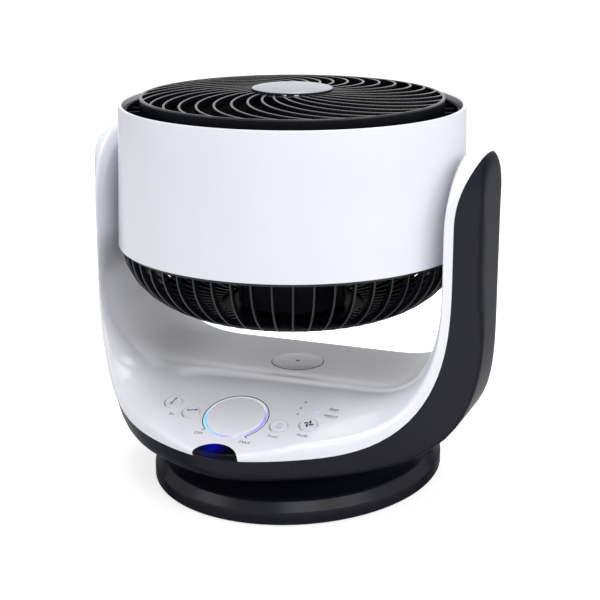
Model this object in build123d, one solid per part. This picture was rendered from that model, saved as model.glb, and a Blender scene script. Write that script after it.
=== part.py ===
from build123d import *
from math import acos, cos, hypot, pi, radians, sin, tan
import os

# Air circulator fan: a drum-shaped head tilts between the arms of a U-shaped yoke, and the
# yoke turns on an oval foot. Millimetres, +Z up, the front (control panel) faces -Y.
# The origin is on the floor under the swivel axis. At rest the head blows straight up.

# ---------------------------------------------------------------- head: drum
TILT_Z = 242.0            # height of the tilt axis, which runs along X
DRUM_REAR_R = 140.0       # outer radius at the rear (lower) edge
DRUM_FRONT_R = 137.0      # outer radius at the front (upper) edge
DRUM_REAR_Z = 198.0
DRUM_FRONT_Z = 310.0
DRUM_WALL = 2.8
LEDGE_Z = 292.0           # top of the ledge that carries the duct and the front grille
LEDGE_DEPTH = 10.0
LEDGE_H = 4.0

# ---------------------------------------------------------------- head: front grille
RING_R = 120.3            # outer radius of the front ring
RING_WALL = 2.4
RING_TOP_Z = 315.0
GRILLE_DOME = 5.0         # how much higher the middle of the grille is than its ring
RIB_COUNT = 30
RIB_ARC_R = 65.5          # each rib is an arc of this radius
RIB_ARC_AT = 63.5         # distance of the arc's centre from the fan axis
RIB_PHASE = 9.3           # degrees
RIB_W = 1.6
RIB_H = 7.0
RIB_HUB_R = 34.0          # outer radius of the hub ring that the ribs run into
HUB_CAP_R = 32.0
HUB_CAP_H = 3.4
HUB_CAP_CROWN = 2.2
FLANGE_T = 3.0            # flange of the front grille
SCREW_COUNT = 6
SCREW_R = 1.6
SCREW_HEAD_R = 3.0
SCREW_HEAD_H = 1.8
FOUR_WAYS = (45, 135, 225, 315)      # degrees at which rings of four screws stand

# ---------------------------------------------------------------- head: rear grille
BOWL_Z = 142.0            # underside of the bowl
BOWL_FLAT_R = 58.0        # radius of its flat middle
BOWL_RIM_GAP = 0.15       # clearance of the rim inside the drum
BOWL_RIM_H = 9.0
BOWL_RIM_W = 3.2
BOWL_RIB_COUNT = 52
BOWL_RIB_W = 1.7
BOWL_RIB_DEPTH = 5.0
BOWL_PLATE_T = 3.0

# ---------------------------------------------------------------- head: duct, fan and motor
DUCT_R = 121.0            # inner radius of the air duct
DUCT_WALL = 2.0
DUCT_LOW_Z = 206.0
BLADE_COUNT = 5
BLADE_TIP_GAP = 4.0
FAN_HUB_R = 30.0
FAN_HUB_LOW_Z = 204.0
FAN_HUB_H = 48.0
FAN_HUB_WALL = 3.0
BLADE_T = 2.4
BLADE_PITCH = (52.0, 38.0, 27.0)     # degrees at the hub, half way out and at the tip
BLADE_CHORD = (46.0, 62.0, 70.0)
BLADE_LEAD = (0.0, 9.0, 22.0)        # degrees that each section stands ahead of the first
MOTOR_R = 44.0
MOTOR_H = 36.0
MOTOR_SCREW_AT = 36.0     # radius of its ring of screws
SHAFT_R = 4.0
RUN_GAP = 0.06            # radial clearance of a shaft in its bearing
NUT_R = 9.0
NUT_H = 10.0

# ---------------------------------------------------------------- tilt pivots
BOSS_R = 40.0             # round boss between the drum and each arm
BOSS_GAP = 0.8            # gap between the boss and the arm
TRUNNION_R = 12.0
TRUNNION_BORE = 8.0
BUSH_R = 16.5
BUSH_FLANGE_R = 20.0
BUSH_FLANGE_T = 2.0

# ---------------------------------------------------------------- gears
MODULE = 1.5
TOOTH_ADDENDUM = 0.85     # in modules
TOOTH_DEDENDUM = 1.2      # in modules
TOOTH_BACKLASH = 0.30
PRESSURE = radians(20)
SWIVEL_TEETH = 36
TILT_TEETH = 32
PINION_TEETH = 12
GEAR_T = 5.0
PINION_SHAFT_R = 3.0

# ---------------------------------------------------------------- yoke
# The yoke is lofted round the head through flat sections. Each arm's sections are level, the
# saddle's stand upright, and those between fan out from the two turning lines.
TURN_X = 60.0
TURN_Z = 200.0
ARM_IN_X = 142.5          # inner face of an arm
ARM_OUT_X = 163.0         # outer face of an arm
ARM_BACK_Y = 50.0
ARM_FRONT_Y = -54.0       # where the two shells part on an arm's front edge
ARM_PART_X = 148.8
ARM_TOP_Z = 285.0
SADDLE_Z = 90.0
BELLY_Z = 44.0
PART_Z = 67.0             # height of the parting line at the front
FRONT_Y = -161.6          # front of the parting line
FRONT_BULGE = 16.6        # how much further forward the panel's middle is than its sides
SADDLE_BACK = 20.0        # how much further back the saddle reaches than the arms
LIP_REACH = 12.0          # how far the cover's edge stands ahead of the outer shell on an arm
SHELL_WALL = 3.0
FRONT_SLOPE = 26.0        # width of the outer shell's sloping edge on an arm's front
REAR_SLOPE = 12.0         # the same at the arm's back and under the panel
FRONT_ROUND = 16.0
SHELL_ROUND = 8.0
COVER_DEPTH = 6.3         # depth of the inner cover at its back edge
INSIDE_POWER = 2.3        # fullness of the U's bends: inner face, outer face, parting line
OUTSIDE_POWER = 2.6
PART_POWER = 3.0
LEAN_LOW_Z = 232.0        # above this height the parting line leans outward
LEAN_RATE = 0.0056        # by this times the square of the height above it
LEAN_MOST = 13.0
END_LEAN = 11.0           # how far it has moved where an arm's end is round
SHELL_DROP = 5.0          # how much lower than the cover the outer shell's top is
SEAM_GAP = 0.1            # between the yoke's two shells
END_EASE = 0.4            # how far the arms' end discs stand clear of the straight sides
PANEL_TILT = radians(19.5)
DIAL_Y = -119.4
DIAL_Z = 86.0

# ---------------------------------------------------------------- controls
DIAL_R = 22.6
DIAL_PROUD = 1.2
DIAL_T = 5.0
DIAL_STEM_R = 3.0
LIGHT_RING_W = 1.6
MOVE_GAP = 0.3            # gap round what turns or is pressed in the panel
BUTTON_R = 6.4
BUTTON_PROUD = 0.6
BUTTON_T = 3.2
BUTTON_STEM_R = 2.0
BUTTON_TRAVEL = 0.8
BUTTONS = {"button_tilt": (-55.3, 7.5), "button_swivel": (-36.5, -1.5),
           "button_timer": (36.7, -3.6), "button_mode": (58.5, 2.0)}
LED_SPOTS = [(47.1, 27.5), (45.8, 20.0), (45.9, 12.6), (59.7, 18.2)]
LED_R = 1.0
FRAME_DROP = 10.0         # depth of the control frame's top below the panel
FRAME_T = 2.4
FRAME_LONG = 130.0
FRAME_WIDE = 44.0
FRAME_AT = 4.0            # how far up the panel from the dial the frame's middle lies
POST_R = 3.0
POST_IN = 5.0             # how far in from the frame's edges its posts stand
REAR_POST_X = 30.0
BOARD_T = 1.6
BOARD_IN = 4.0            # how much smaller than the frame the board is on each side
WINDOW_R = 20.3           # half-moon display window in the front edge
WINDOW_AT = -52.5         # its centre, measured down the panel from the dial
DISC_R = 22.0             # disc in the middle of the saddle
DISC_Y = 5.5
DISC_T = 1.6
DISC_PROUD = 0.8

# ---------------------------------------------------------------- foot and swivel
FOOT_HALF_X = 118.0
FOOT_HALF_Y = 139.0
FOOT_Y = 16.0             # centre of the oval behind the swivel axis
PAD_H = 1.0               # how far the rubber pads stand out below the foot
FOOT_BAND_Z = 12.0
FOOT_SHOULDER_Z = 19.0
FOOT_TAPER = 5.0
FOOT_TOP_Z = 40.0
FOOT_NECK_R = 86.0
FOOT_WALL = 3.0
PLATE_T = 3.0
PAD_R = 9.0
PAD_T = 3.0
PAD_COUNT = 6
PAD_IN = 22.0             # how far in from the foot's edge the pads' centres lie
FOOT_SCREW_IN = 14.0
FOOT_BOSS_R = 4.0
WEIGHT_IN = 26.0
WEIGHT_T = 8.0
SPINDLE_R = 14.0
SPINDLE_BORE = 10.0
SPINDLE_FLANGE_R = 30.0
SPINDLE_FLANGE_T = 4.0
SPINDLE_SCREW_AT = 24.0   # radius of the ring of screws in its flange
BEARING_IN_R = 44.0
BEARING_OUT_R = 56.0
CARRIER_T = 2.5
CARRIER_HALF_X = 52.0
CARRIER_FRONT_Y = -70.0
CARRIER_BACK_Y = 47.0
CARRIER_BUSH_R = 20.0
COLLAR_R = 19.0
COLLAR_H = 4.0
STACK_GAP = 0.3           # end play between turning and fixed parts of the swivel
SWIVEL_MOTOR_R = 25.0
SWIVEL_MOTOR_H = 16.0
TILT_MOTOR_R = 21.0
TILT_MOTOR_H = 5.2
INLET_R = 4.5
INLET_Z = 8.8
INLET_BORE_R = 3.2
INLET_DEPTH = 9.0


def save(name, shape):
    export_step(shape, "parts/" + name + ".step")


def tube(outer, inner, low, high):
    ring = Circle(outer) - Circle(inner)
    return extrude(Plane.XY.offset(low) * ring, high - low)


def rod(radius, low, high):
    return extrude(Plane.XY.offset(low) * Circle(radius), high - low)


def rod_x(radius, low, high, y=0.0, z=TILT_Z):
    return extrude(Plane((low, y, z), x_dir=(0, 1, 0), z_dir=(1, 0, 0)) * Circle(radius), high - low)


def spin(profile):
    """Turn a flat outline in the XZ plane round the fan axis."""
    return revolve(profile, Axis.Z, 360)


def outline_xz(*points):
    return make_face(Polyline(*[(x, 0, z) for x, z in points], close=True))


def group(shapes):
    return Compound(children=[s for shape in shapes for s in shape.solids()])


def drum_outer_r(z):
    share = (z - DRUM_REAR_Z) / (DRUM_FRONT_Z - DRUM_REAR_Z)
    return DRUM_REAR_R + (DRUM_FRONT_R - DRUM_REAR_R) * share


def drum_inner_r(z):
    return drum_outer_r(z) - DRUM_WALL


# ---------------------------------------------------------------- gears
def involute(angle):
    return tan(angle) - angle


def gear_outline(teeth, first=0, last=None, phase=0.0):
    """Flat spur gear with teeth first..last, the rest of the rim plain. phase turns it."""
    last = teeth - 1 if last is None else last
    pitch_r = MODULE * teeth / 2
    base_r = pitch_r * cos(PRESSURE)
    tip_r = pitch_r + TOOTH_ADDENDUM * MODULE
    root_r = pitch_r - TOOTH_DEDENDUM * MODULE
    half_pitch = pi / (2 * teeth) - TOOTH_BACKLASH / (2 * pitch_r)

    def half_width(r):
        angle = 0.0 if r <= base_r else acos(base_r / r)
        return half_pitch + involute(PRESSURE) - involute(angle)

    points = []
    for tooth in range(teeth):
        middle = 2 * pi * tooth / teeth + phase
        if first <= tooth <= last:
            flank = [(root_r, half_width(root_r)), (pitch_r, half_width(pitch_r)),
                     (tip_r, half_width(tip_r))]
        else:
            flank = [(root_r, half_width(root_r))]
        for r, half in flank:
            points.append((r * cos(middle - half), r * sin(middle - half)))
        for r, half in reversed(flank):
            points.append((r * cos(middle + half), r * sin(middle + half)))
    return make_face(Polyline(*points, close=True))


# ---------------------------------------------------------------- head
def drum_shell():
    lip = DRUM_WALL
    outer = DRUM_REAR_R
    face = outline_xz((outer, DRUM_REAR_Z), (drum_outer_r(DRUM_FRONT_Z - lip), DRUM_FRONT_Z - lip),
                      (DRUM_FRONT_R - lip * 0.45, DRUM_FRONT_Z - lip * 0.12),
                      (DRUM_FRONT_R - lip * 0.8, DRUM_FRONT_Z),
                      (drum_inner_r(DRUM_FRONT_Z) - 0.2, DRUM_FRONT_Z - lip * 0.4),
                      (drum_inner_r(LEDGE_Z), LEDGE_Z),
                      (drum_inner_r(LEDGE_Z) - LEDGE_DEPTH, LEDGE_Z),
                      (drum_inner_r(LEDGE_Z) - LEDGE_DEPTH, LEDGE_Z - LEDGE_H),
                      (drum_inner_r(LEDGE_Z - LEDGE_H), LEDGE_Z - LEDGE_H),
                      (drum_inner_r(DRUM_REAR_Z), DRUM_REAR_Z))
    shell = spin(face)
    for side in (-1, 1):
        hole = rod_x(TRUNNION_R + 0.2, DRUM_FRONT_R - 20, DRUM_REAR_R + 10)
        shell -= hole if side > 0 else mirror(hole, Plane.YZ)
    for turn in screw_angles():
        shell -= screw_place(turn) * Cylinder(SCREW_R, 4 * LEDGE_H)
    return shell


def screw_circle():
    return drum_inner_r(LEDGE_Z) - LEDGE_DEPTH / 2


def screw_angles():
    return [360.0 * (i + 0.5) / SCREW_COUNT for i in range(SCREW_COUNT)]


def screw_place(turn):
    return Location((0, 0, LEDGE_Z)) * Rot(0, 0, turn) * Location((screw_circle(), 0, 0))


def duct_ring():
    top = LEDGE_Z + DUCT_WALL
    flange = drum_inner_r(LEDGE_Z) - MOVE_GAP
    bell = DUCT_R + 6.0
    face = outline_xz((DUCT_R, DUCT_LOW_Z + 8), (DUCT_R, top), (flange, top), (flange, LEDGE_Z),
                      (DUCT_R + DUCT_WALL, LEDGE_Z), (DUCT_R + DUCT_WALL, DUCT_LOW_Z + 9),
                      (bell + DUCT_WALL, DUCT_LOW_Z), (bell, DUCT_LOW_Z))
    ring = spin(face)
    for turn in screw_angles():
        ring -= screw_place(turn) * Cylinder(SCREW_R, 4 * LEDGE_H)
    return ring


def dome_slab(top_rise, thickness):
    """Lens-shaped slab under the grille's crowned top."""
    reach = RING_R + 10
    sag = GRILLE_DOME * (reach / RING_R) ** 2 - GRILLE_DOME
    top = RING_TOP_Z + GRILLE_DOME + top_rise
    low = RING_TOP_Z - sag + top_rise
    arc = ThreePointArc((-reach, 0, low), (0, 0, top), (reach, 0, low))
    under = ThreePointArc((reach, 0, low - thickness), (0, 0, top - thickness),
                          (-reach, 0, low - thickness))
    side = Line(arc @ 1, under @ 0)
    other = Line(under @ 1, arc @ 0)
    half = make_face(Wire([arc, side, under, other])) & Pos(reach, 0, top) * Box(
        2 * reach, 20, 200)
    return spin(half)


def spiral_rib():
    """One rib in plan: a curved strip from the hub ring to the outer ring."""
    strip = Circle(RIB_ARC_R + RIB_W / 2) - Circle(RIB_ARC_R - RIB_W / 2)
    strip = Pos(RIB_ARC_AT, 0) * strip
    annulus = Circle(RING_R - RING_WALL / 2) - Circle(RIB_HUB_R - 1.5)
    pieces = (strip & annulus).faces()
    return pieces.sort_by(Axis.Y)[0]


def front_grille():
    top = RING_TOP_Z
    foot = LEDGE_Z + DUCT_WALL
    flange_r = drum_inner_r(foot) - MOVE_GAP
    face = outline_xz((RING_R, foot), (RING_R, top - 1.2), (RING_R - 0.6, top - 0.2),
                      (RING_R - RING_WALL / 2, top), (RING_R - RING_WALL, top - 0.6),
                      (RING_R - RING_WALL, foot))
    grille = spin(face)
    grille += tube(flange_r, RING_R - 0.5, foot, foot + FLANGE_T)
    hub_top = top + GRILLE_DOME
    grille += tube(RIB_HUB_R, RIB_HUB_R - 3.0, hub_top - RIB_H - 3, hub_top)
    grille += rod(RIB_HUB_R - 2.5, hub_top - 5.0, hub_top - 2.0)
    plan = spiral_rib()
    slab = dome_slab(-0.3, RIB_H)
    rib = extrude(Plane.XY.offset(top - 2 * RIB_H) * plan, 4 * RIB_H) & slab
    ribs = [Rot(0, 0, RIB_PHASE + 360.0 * i / RIB_COUNT) * rib for i in range(RIB_COUNT)]
    grille = grille.fuse(*[s for r in ribs for s in r.solids()])
    for turn in screw_angles():
        grille -= screw_place(turn) * Cylinder(SCREW_R, 8 * LEDGE_H)
    return grille


def hub_cap():
    seat = RING_TOP_Z + GRILLE_DOME
    rim = seat + HUB_CAP_H - 1.2
    arc = ThreePointArc((0, 0, rim + HUB_CAP_CROWN), (HUB_CAP_R * 0.55, 0, rim + HUB_CAP_CROWN * 0.72),
                        (HUB_CAP_R, 0, rim))
    sides = Polyline((HUB_CAP_R, 0, rim), (HUB_CAP_R, 0, seat), (0, 0, seat),
                     (0, 0, rim + HUB_CAP_CROWN))
    cap = spin(make_face(Wire([arc] + sides.edges())))
    post = rod(6.0, seat - 2.0, seat)
    return cap + post


def bowl_curve(depth):
    """Quarter ellipse of the bowl's rib, set in by depth."""
    rim = drum_inner_r(DRUM_REAR_Z) - BOWL_RIM_GAP - depth
    low = BOWL_Z + depth
    across = rim - BOWL_FLAT_R
    drop = DRUM_REAR_Z - low
    return EllipticalCenterArc((BOWL_FLAT_R, DRUM_REAR_Z), across, drop, start_angle=270,
                               arc_size=90)


def bowl_rib():
    outer = bowl_curve(0.0)
    inner = bowl_curve(BOWL_RIB_DEPTH)
    low = Line(outer @ 0, inner @ 0)
    high = Line(inner @ 1, outer @ 1)
    flat = make_face(Wire([outer, inner, low, high]))
    return extrude(Plane.XZ * flat, BOWL_RIB_W / 2, both=True)


def rear_grille():
    rim_r = drum_inner_r(DRUM_REAR_Z) - BOWL_RIM_GAP
    top_r = drum_inner_r(DRUM_REAR_Z + BOWL_RIM_H) - BOWL_RIM_GAP
    face = outline_xz((rim_r, DRUM_REAR_Z - 2.5), (rim_r, DRUM_REAR_Z), (top_r, DRUM_REAR_Z + BOWL_RIM_H),
                      (top_r - BOWL_RIM_W, DRUM_REAR_Z + BOWL_RIM_H),
                      (rim_r - BOWL_RIM_W - 1.6, DRUM_REAR_Z),
                      (rim_r - BOWL_RIM_W - 1.6, DRUM_REAR_Z - 2.5))
    grille = spin(face)
    grille += rod(BOWL_FLAT_R + 2.0, BOWL_Z, BOWL_Z + BOWL_PLATE_T)
    rib = bowl_rib()
    ribs = [Rot(0, 0, 360.0 * i / BOWL_RIB_COUNT) * rib for i in range(BOWL_RIB_COUNT)]
    grille = grille.fuse(*[s for r in ribs for s in r.solids()])
    for turn in FOUR_WAYS:
        grille -= Rot(0, 0, turn) * Pos(MOTOR_SCREW_AT, 0, BOWL_Z) * Cylinder(SCREW_R, 20)
    return grille


def motor_low():
    return BOWL_Z + BOWL_PLATE_T


def motor_housing():
    low = motor_low()
    high = low + MOTOR_H
    face = outline_xz((SHAFT_R + RUN_GAP, low + 2), (0, low + 2), (0, low), (MOTOR_R - 3, low),
                      (MOTOR_R, low + 3), (MOTOR_R, high - 6), (MOTOR_R - 6, high),
                      (12, high), (12, high + 5), (SHAFT_R + RUN_GAP, high + 5))
    housing = spin(face)
    for turn in FOUR_WAYS:
        housing -= Rot(0, 0, turn) * Pos(MOTOR_SCREW_AT, 0, low) * Cylinder(SCREW_R, 16)
    for i in range(16):
        slot = Rot(0, 0, 22.5 * i) * Pos(MOTOR_R, 0, low + MOTOR_H * 0.45) * Box(3, 5, MOTOR_H * 0.4)
        housing -= slot
    return housing


def motor_shaft():
    return rod(SHAFT_R, motor_low() + 2 + MOVE_GAP, FAN_HUB_LOW_Z + FAN_HUB_H + NUT_H)


def motor_screws():
    screws = []
    for turn in FOUR_WAYS:
        body = Pos(MOTOR_SCREW_AT, 0, 0) * (rod(SCREW_R, BOWL_Z, BOWL_Z + 9)
                                         + rod(SCREW_HEAD_R, BOWL_Z - SCREW_HEAD_H, BOWL_Z))
        screws.append(Rot(0, 0, turn) * body)
    return group(screws)


def grille_screws():
    top = LEDGE_Z + DUCT_WALL + FLANGE_T
    screws = []
    for turn in screw_angles():
        body = Rot(0, 0, turn) * Pos(screw_circle(), 0, 0) * (
            rod(SCREW_R, LEDGE_Z - LEDGE_H, top) + rod(SCREW_HEAD_R, top, top + SCREW_HEAD_H))
        screws.append(body)
    return group(screws)


def fan_blade():
    low = FAN_HUB_LOW_Z
    high = low + FAN_HUB_H
    inside = FAN_HUB_R - FAN_HUB_WALL
    core = SHAFT_R + 8
    face = outline_xz((SHAFT_R, low + 14), (core, low + 14), (core, high - 6), (inside, high - 8),
                      (inside, low), (FAN_HUB_R, low), (FAN_HUB_R, high - 8),
                      (FAN_HUB_R - 8, high), (SHAFT_R, high))
    fan = spin(face)
    tip_r = DUCT_R - BLADE_TIP_GAP
    reaches = (FAN_HUB_R - FAN_HUB_WALL / 2, (FAN_HUB_R + tip_r) / 2, tip_r)
    sections = [blade_section(*at) for at in zip(reaches, BLADE_PITCH, BLADE_CHORD, BLADE_LEAD)]
    blade = loft(sections) & rod(tip_r, low - 40, high + 40)
    copies = [Rot(0, 0, 360.0 * i / BLADE_COUNT) * blade for i in range(BLADE_COUNT)]
    return fan.fuse(*[s for c in copies for s in c.solids()])


def blade_section(r, pitch_deg, chord, lead_deg):
    """Curved blade profile on a plane square to the radius, turned by its pitch and led ahead."""
    camber = chord * 0.10
    half = chord / 2
    upper = ThreePointArc((-half, 0), (0, camber + BLADE_T / 2), (half, 0))
    lower = ThreePointArc((half, -0.6), (0, camber - BLADE_T / 2), (-half, -0.6))
    ends = [Line(upper @ 1, lower @ 0), Line(lower @ 1, upper @ 0)]
    face = make_face(Wire([upper, lower] + ends))
    frame = Plane((r, 0, FAN_HUB_LOW_Z + FAN_HUB_H * 0.52), x_dir=(0, 1, 0), z_dir=(1, 0, 0))
    return Rot(0, 0, lead_deg) * (frame * (Rot(0, 0, pitch_deg) * face))


def blade_nut():
    low = FAN_HUB_LOW_Z + FAN_HUB_H
    nut = tube(NUT_R, SHAFT_R, low, low + NUT_H)
    return nut + rod(NUT_R, low + NUT_H, low + NUT_H + 3)


def arm_gap_x():
    return ARM_IN_X - BOSS_GAP


def pivot_boss():
    """Boss on the right of the drum: a disc whose inner side follows the drum."""
    disc = rod_x(BOSS_R, DRUM_FRONT_R - 14, arm_gap_x())
    disc -= rod_x(TRUNNION_R, DRUM_FRONT_R - 20, ARM_OUT_X)
    core = spin(outline_xz((0, DRUM_REAR_Z), (DRUM_REAR_R, DRUM_REAR_Z), (DRUM_FRONT_R, DRUM_FRONT_Z),
                           (0, DRUM_FRONT_Z)))
    return disc - core


def trunnion():
    inner_x = drum_inner_r(TILT_Z) - 1
    flange = rod_x(TRUNNION_R + 4, inner_x - 3.5, inner_x - 0.5)
    shaft = rod_x(TRUNNION_R, inner_x - 3.5, ARM_OUT_X - SHELL_WALL - 2.2)
    return shaft + flange - rod_x(TRUNNION_BORE, inner_x - 10, ARM_OUT_X + 5)


def gear_low_x():
    return ARM_IN_X + SHELL_WALL + BUSH_FLANGE_T + 0.5


def tilt_gear():
    teeth = tilt_sector()
    frame = Plane((gear_low_x(), 0, TILT_Z), x_dir=(0, 1, 0), z_dir=(1, 0, 0))
    return extrude(frame * teeth, GEAR_T) - rod_x(TRUNNION_R, ARM_IN_X, ARM_OUT_X)


def tilt_sector():
    """Toothed from a little behind straight down round to the front."""
    share = TILT_TEETH // 4
    low = 2 * share
    return gear_outline(TILT_TEETH, low - 2, low + share + 2)


def tilt_pinion_z():
    return TILT_Z - MODULE * (TILT_TEETH + PINION_TEETH) / 2


def tilt_pinion():
    frame = Plane((gear_low_x(), 0, tilt_pinion_z()), x_dir=(0, 1, 0), z_dir=(1, 0, 0))
    gear = extrude(frame * gear_outline(PINION_TEETH, phase=pi / 2 + pi / PINION_TEETH), GEAR_T)
    return gear + rod_x(PINION_SHAFT_R, gear_low_x(), gear_low_x() + GEAR_T + 3.5, z=tilt_pinion_z())


def tilt_motor():
    low = gear_low_x() + GEAR_T + 0.5
    body = rod_x(TILT_MOTOR_R, low, low + TILT_MOTOR_H, z=tilt_pinion_z() - 10)
    ears = extrude(Plane((low, 0, tilt_pinion_z() - 10), x_dir=(0, 1, 0), z_dir=(1, 0, 0))
                   * SlotOverall(2 * TILT_MOTOR_R + 16, 9), 1.6)
    posts = [rod_x(3.0, ARM_IN_X + SHELL_WALL + 0.2, low, y=s * (TILT_MOTOR_R + 3.5), z=tilt_pinion_z() - 10)
             for s in (-1, 1)]
    motor = body + ears + posts[0] + posts[1]
    return motor - rod_x(PINION_SHAFT_R + RUN_GAP, low - 1, low + 3.2, z=tilt_pinion_z())


def tilt_bush():
    sleeve = rod_x(BUSH_R, ARM_IN_X, ARM_IN_X + SHELL_WALL)
    flange = rod_x(BUSH_FLANGE_R, ARM_IN_X + SHELL_WALL, ARM_IN_X + SHELL_WALL + BUSH_FLANGE_T)
    return sleeve + flange - rod_x(TRUNNION_R + RUN_GAP, ARM_IN_X - 5, ARM_OUT_X)


def make_head():
    save("drum_shell", drum_shell())
    save("duct_ring", duct_ring())
    save("front_grille", front_grille())
    save("hub_cap", hub_cap())
    save("rear_grille", rear_grille())
    save("motor_housing", motor_housing())
    save("motor_shaft", motor_shaft())
    save("motor_screws", motor_screws())
    save("grille_screws", grille_screws())
    save("fan_blade", fan_blade())
    save("blade_nut", blade_nut())
    save("pivot_boss_right", pivot_boss())
    save("pivot_boss_left", mirror(pivot_boss(), Plane.YZ))
    save("trunnion_right", trunnion())
    save("trunnion_left", mirror(trunnion(), Plane.YZ))
    save("tilt_gear", tilt_gear())
    save("tilt_pinion", tilt_pinion())
    save("tilt_motor", tilt_motor())
    save("tilt_bush_right", tilt_bush())
    save("tilt_bush_left", mirror(tilt_bush(), Plane.YZ))


# ---------------------------------------------------------------- yoke
def super_arc(across, down, power, turn):
    """Distance from the turning line to a superellipse, turn radians below level."""
    return ((cos(turn) / across) ** power + (sin(turn) / down) ** power) ** (-1 / power)


def panel_z(y):
    return DIAL_Z + (y - DIAL_Y) * tan(PANEL_TILT)


def part_lean(z):
    """How far the parting line leans outward at height z: a parabola that levels off."""
    lean = LEAN_RATE * max(0.0, z - LEAN_LOW_Z) ** 2
    return lean / (1 + (lean / LEAN_MOST) ** 6) ** (1 / 6)


def yoke_corners(turn, x, z):
    """Corners of the yoke's section as (y, distance from the turning line, rounding)."""
    fan = sin(turn)
    upright = turn > pi / 2 - 1e-6
    centre = 1 - (x / TURN_X) ** 2 if upright else 0.0
    inside = super_arc(ARM_IN_X - TURN_X, TURN_Z - SADDLE_Z, INSIDE_POWER, turn)
    outside = super_arc(ARM_OUT_X - TURN_X, TURN_Z - BELLY_Z, OUTSIDE_POWER, turn)
    lean = part_lean(z)
    part = super_arc(ARM_PART_X - TURN_X, TURN_Z - PART_Z, PART_POWER, turn) + lean
    reach = FRONT_Y + FRONT_BULGE - ARM_FRONT_Y
    part_y = ARM_FRONT_Y - 7.0 * fan ** 2 + (reach + 7.0) * fan ** 9 - FRONT_BULGE * centre
    back_y = ARM_BACK_Y + SADDLE_BACK * fan ** 3
    crest_y = ARM_FRONT_Y - 1.0 - 10.0 * fan ** 2 - 6.0 * centre
    crest_rise = panel_z(crest_y if upright else -65.0) - SADDLE_Z
    crest = inside - crest_rise * fan ** 12
    nose_y = part_y - LIP_REACH + (LIP_REACH - 3.0) * fan ** 9
    nose = TURN_Z - panel_z(nose_y) if upright else part - 5.0 - 0.5 * lean - 4.5 * fan ** 6
    slope = FRONT_SLOPE + (REAR_SLOPE - FRONT_SLOPE) * fan ** 2
    bend = FRONT_ROUND + (1.5 * SHELL_ROUND - FRONT_ROUND) * fan
    return [(back_y, inside, 4.0), (-40.0, inside, 7.0), (crest_y, crest, 2.5), (nose_y, nose, 6.0),
            (part_y, part, 0), (part_y + slope, outside, bend),
            (back_y - REAR_SLOPE * (1 - fan ** 4), outside, SHELL_ROUND + 13.0 * fan ** 2),
            (back_y, inside + COVER_DEPTH + lean, 0)]


def hollow_corners(turn, x, z):
    """The hollow inside the two shells, one wall in from the yoke's section."""
    back, knee, crest, _, part, front, rear, _ = yoke_corners(turn, x, z)
    wall = SHELL_WALL
    ease = 10.0 * (1 - sin(turn) ** 12)
    return [(back[0] - wall, back[1] + wall, 3.0), (knee[0] + ease, knee[1] + wall, 5.0),
            (crest[0] + ease, crest[1] + wall, 3.0), (part[0] + wall + 0.5, part[1] - 0.5, 3.0),
            (front[0] + wall, front[1] - wall, 7.0), (rear[0] - wall, rear[1] - wall, rear[2] - 2.0)]


def section_face(corners, turn, x, z, side):
    """Flat face through the corners, each one rounded by a quadratic curve.

    Two roundings that would meet on a short side share it instead.
    """
    def place(y, r):
        return Vector(side * (x + r * cos(turn)), y, z - r * sin(turn))

    edges = []
    count = len(corners)
    starts, ends = [], []
    for i, (y, r, rounding) in enumerate(corners):
        for other, ends_or_starts in ((corners[i - 1], starts), (corners[(i + 1) % count], ends)):
            length = hypot(other[0] - y, other[1] - r)
            share = min(rounding / length, 0.9 * rounding / max(rounding + other[2], 0.1))
            ends_or_starts.append((y + (other[0] - y) * share, r + (other[1] - r) * share))
    for i, (y, r, rounding) in enumerate(corners):
        if rounding:
            edges.append(Bezier(place(*starts[i]), place(y, r), place(*ends[i])))
        edges.append(Line(place(*ends[i]), place(*starts[(i + 1) % count])))
    return Face(Wire(edges))


def yoke_stations():
    """(turn, x, z) of each section from the middle of the saddle to above the right arm."""
    middle = [(pi / 2, x, TURN_Z) for x in (0.0, TURN_X / 2, TURN_X)]
    bend = [(radians(turn), TURN_X, TURN_Z) for turn in (78, 68, 58, 48, 36, 22, 8)]
    arm = [(0.0, TURN_X, TURN_Z + rise) for rise in (5, 20, 35, 50, 65, 80, 95)]
    return middle + bend + arm


def yoke_loft(shape_of):
    """Loft from arm to arm. shape_of gives a station's corners."""
    stations = yoke_stations()
    faces = [section_face(shape_of(*at), *at, -1) for at in stations[:0:-1]]
    faces += [section_face(shape_of(*at), *at, 1) for at in stations]
    return loft(faces)


def below(z):
    return Pos(0, 0, z / 2) * Box(500, 500, z)


def cover_end():
    """Side-view limit of the inner cover, with its round ends."""
    front = ARM_FRONT_Y - LIP_REACH
    radius = (ARM_BACK_Y - front) / 2 + END_EASE
    centre_z = ARM_TOP_Z - radius
    disc = Plane.YZ * (Pos((ARM_BACK_Y + front) / 2, centre_z) * Circle(radius))
    return extrude(disc, ARM_OUT_X + 20, both=True) + below(centre_z)


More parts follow.
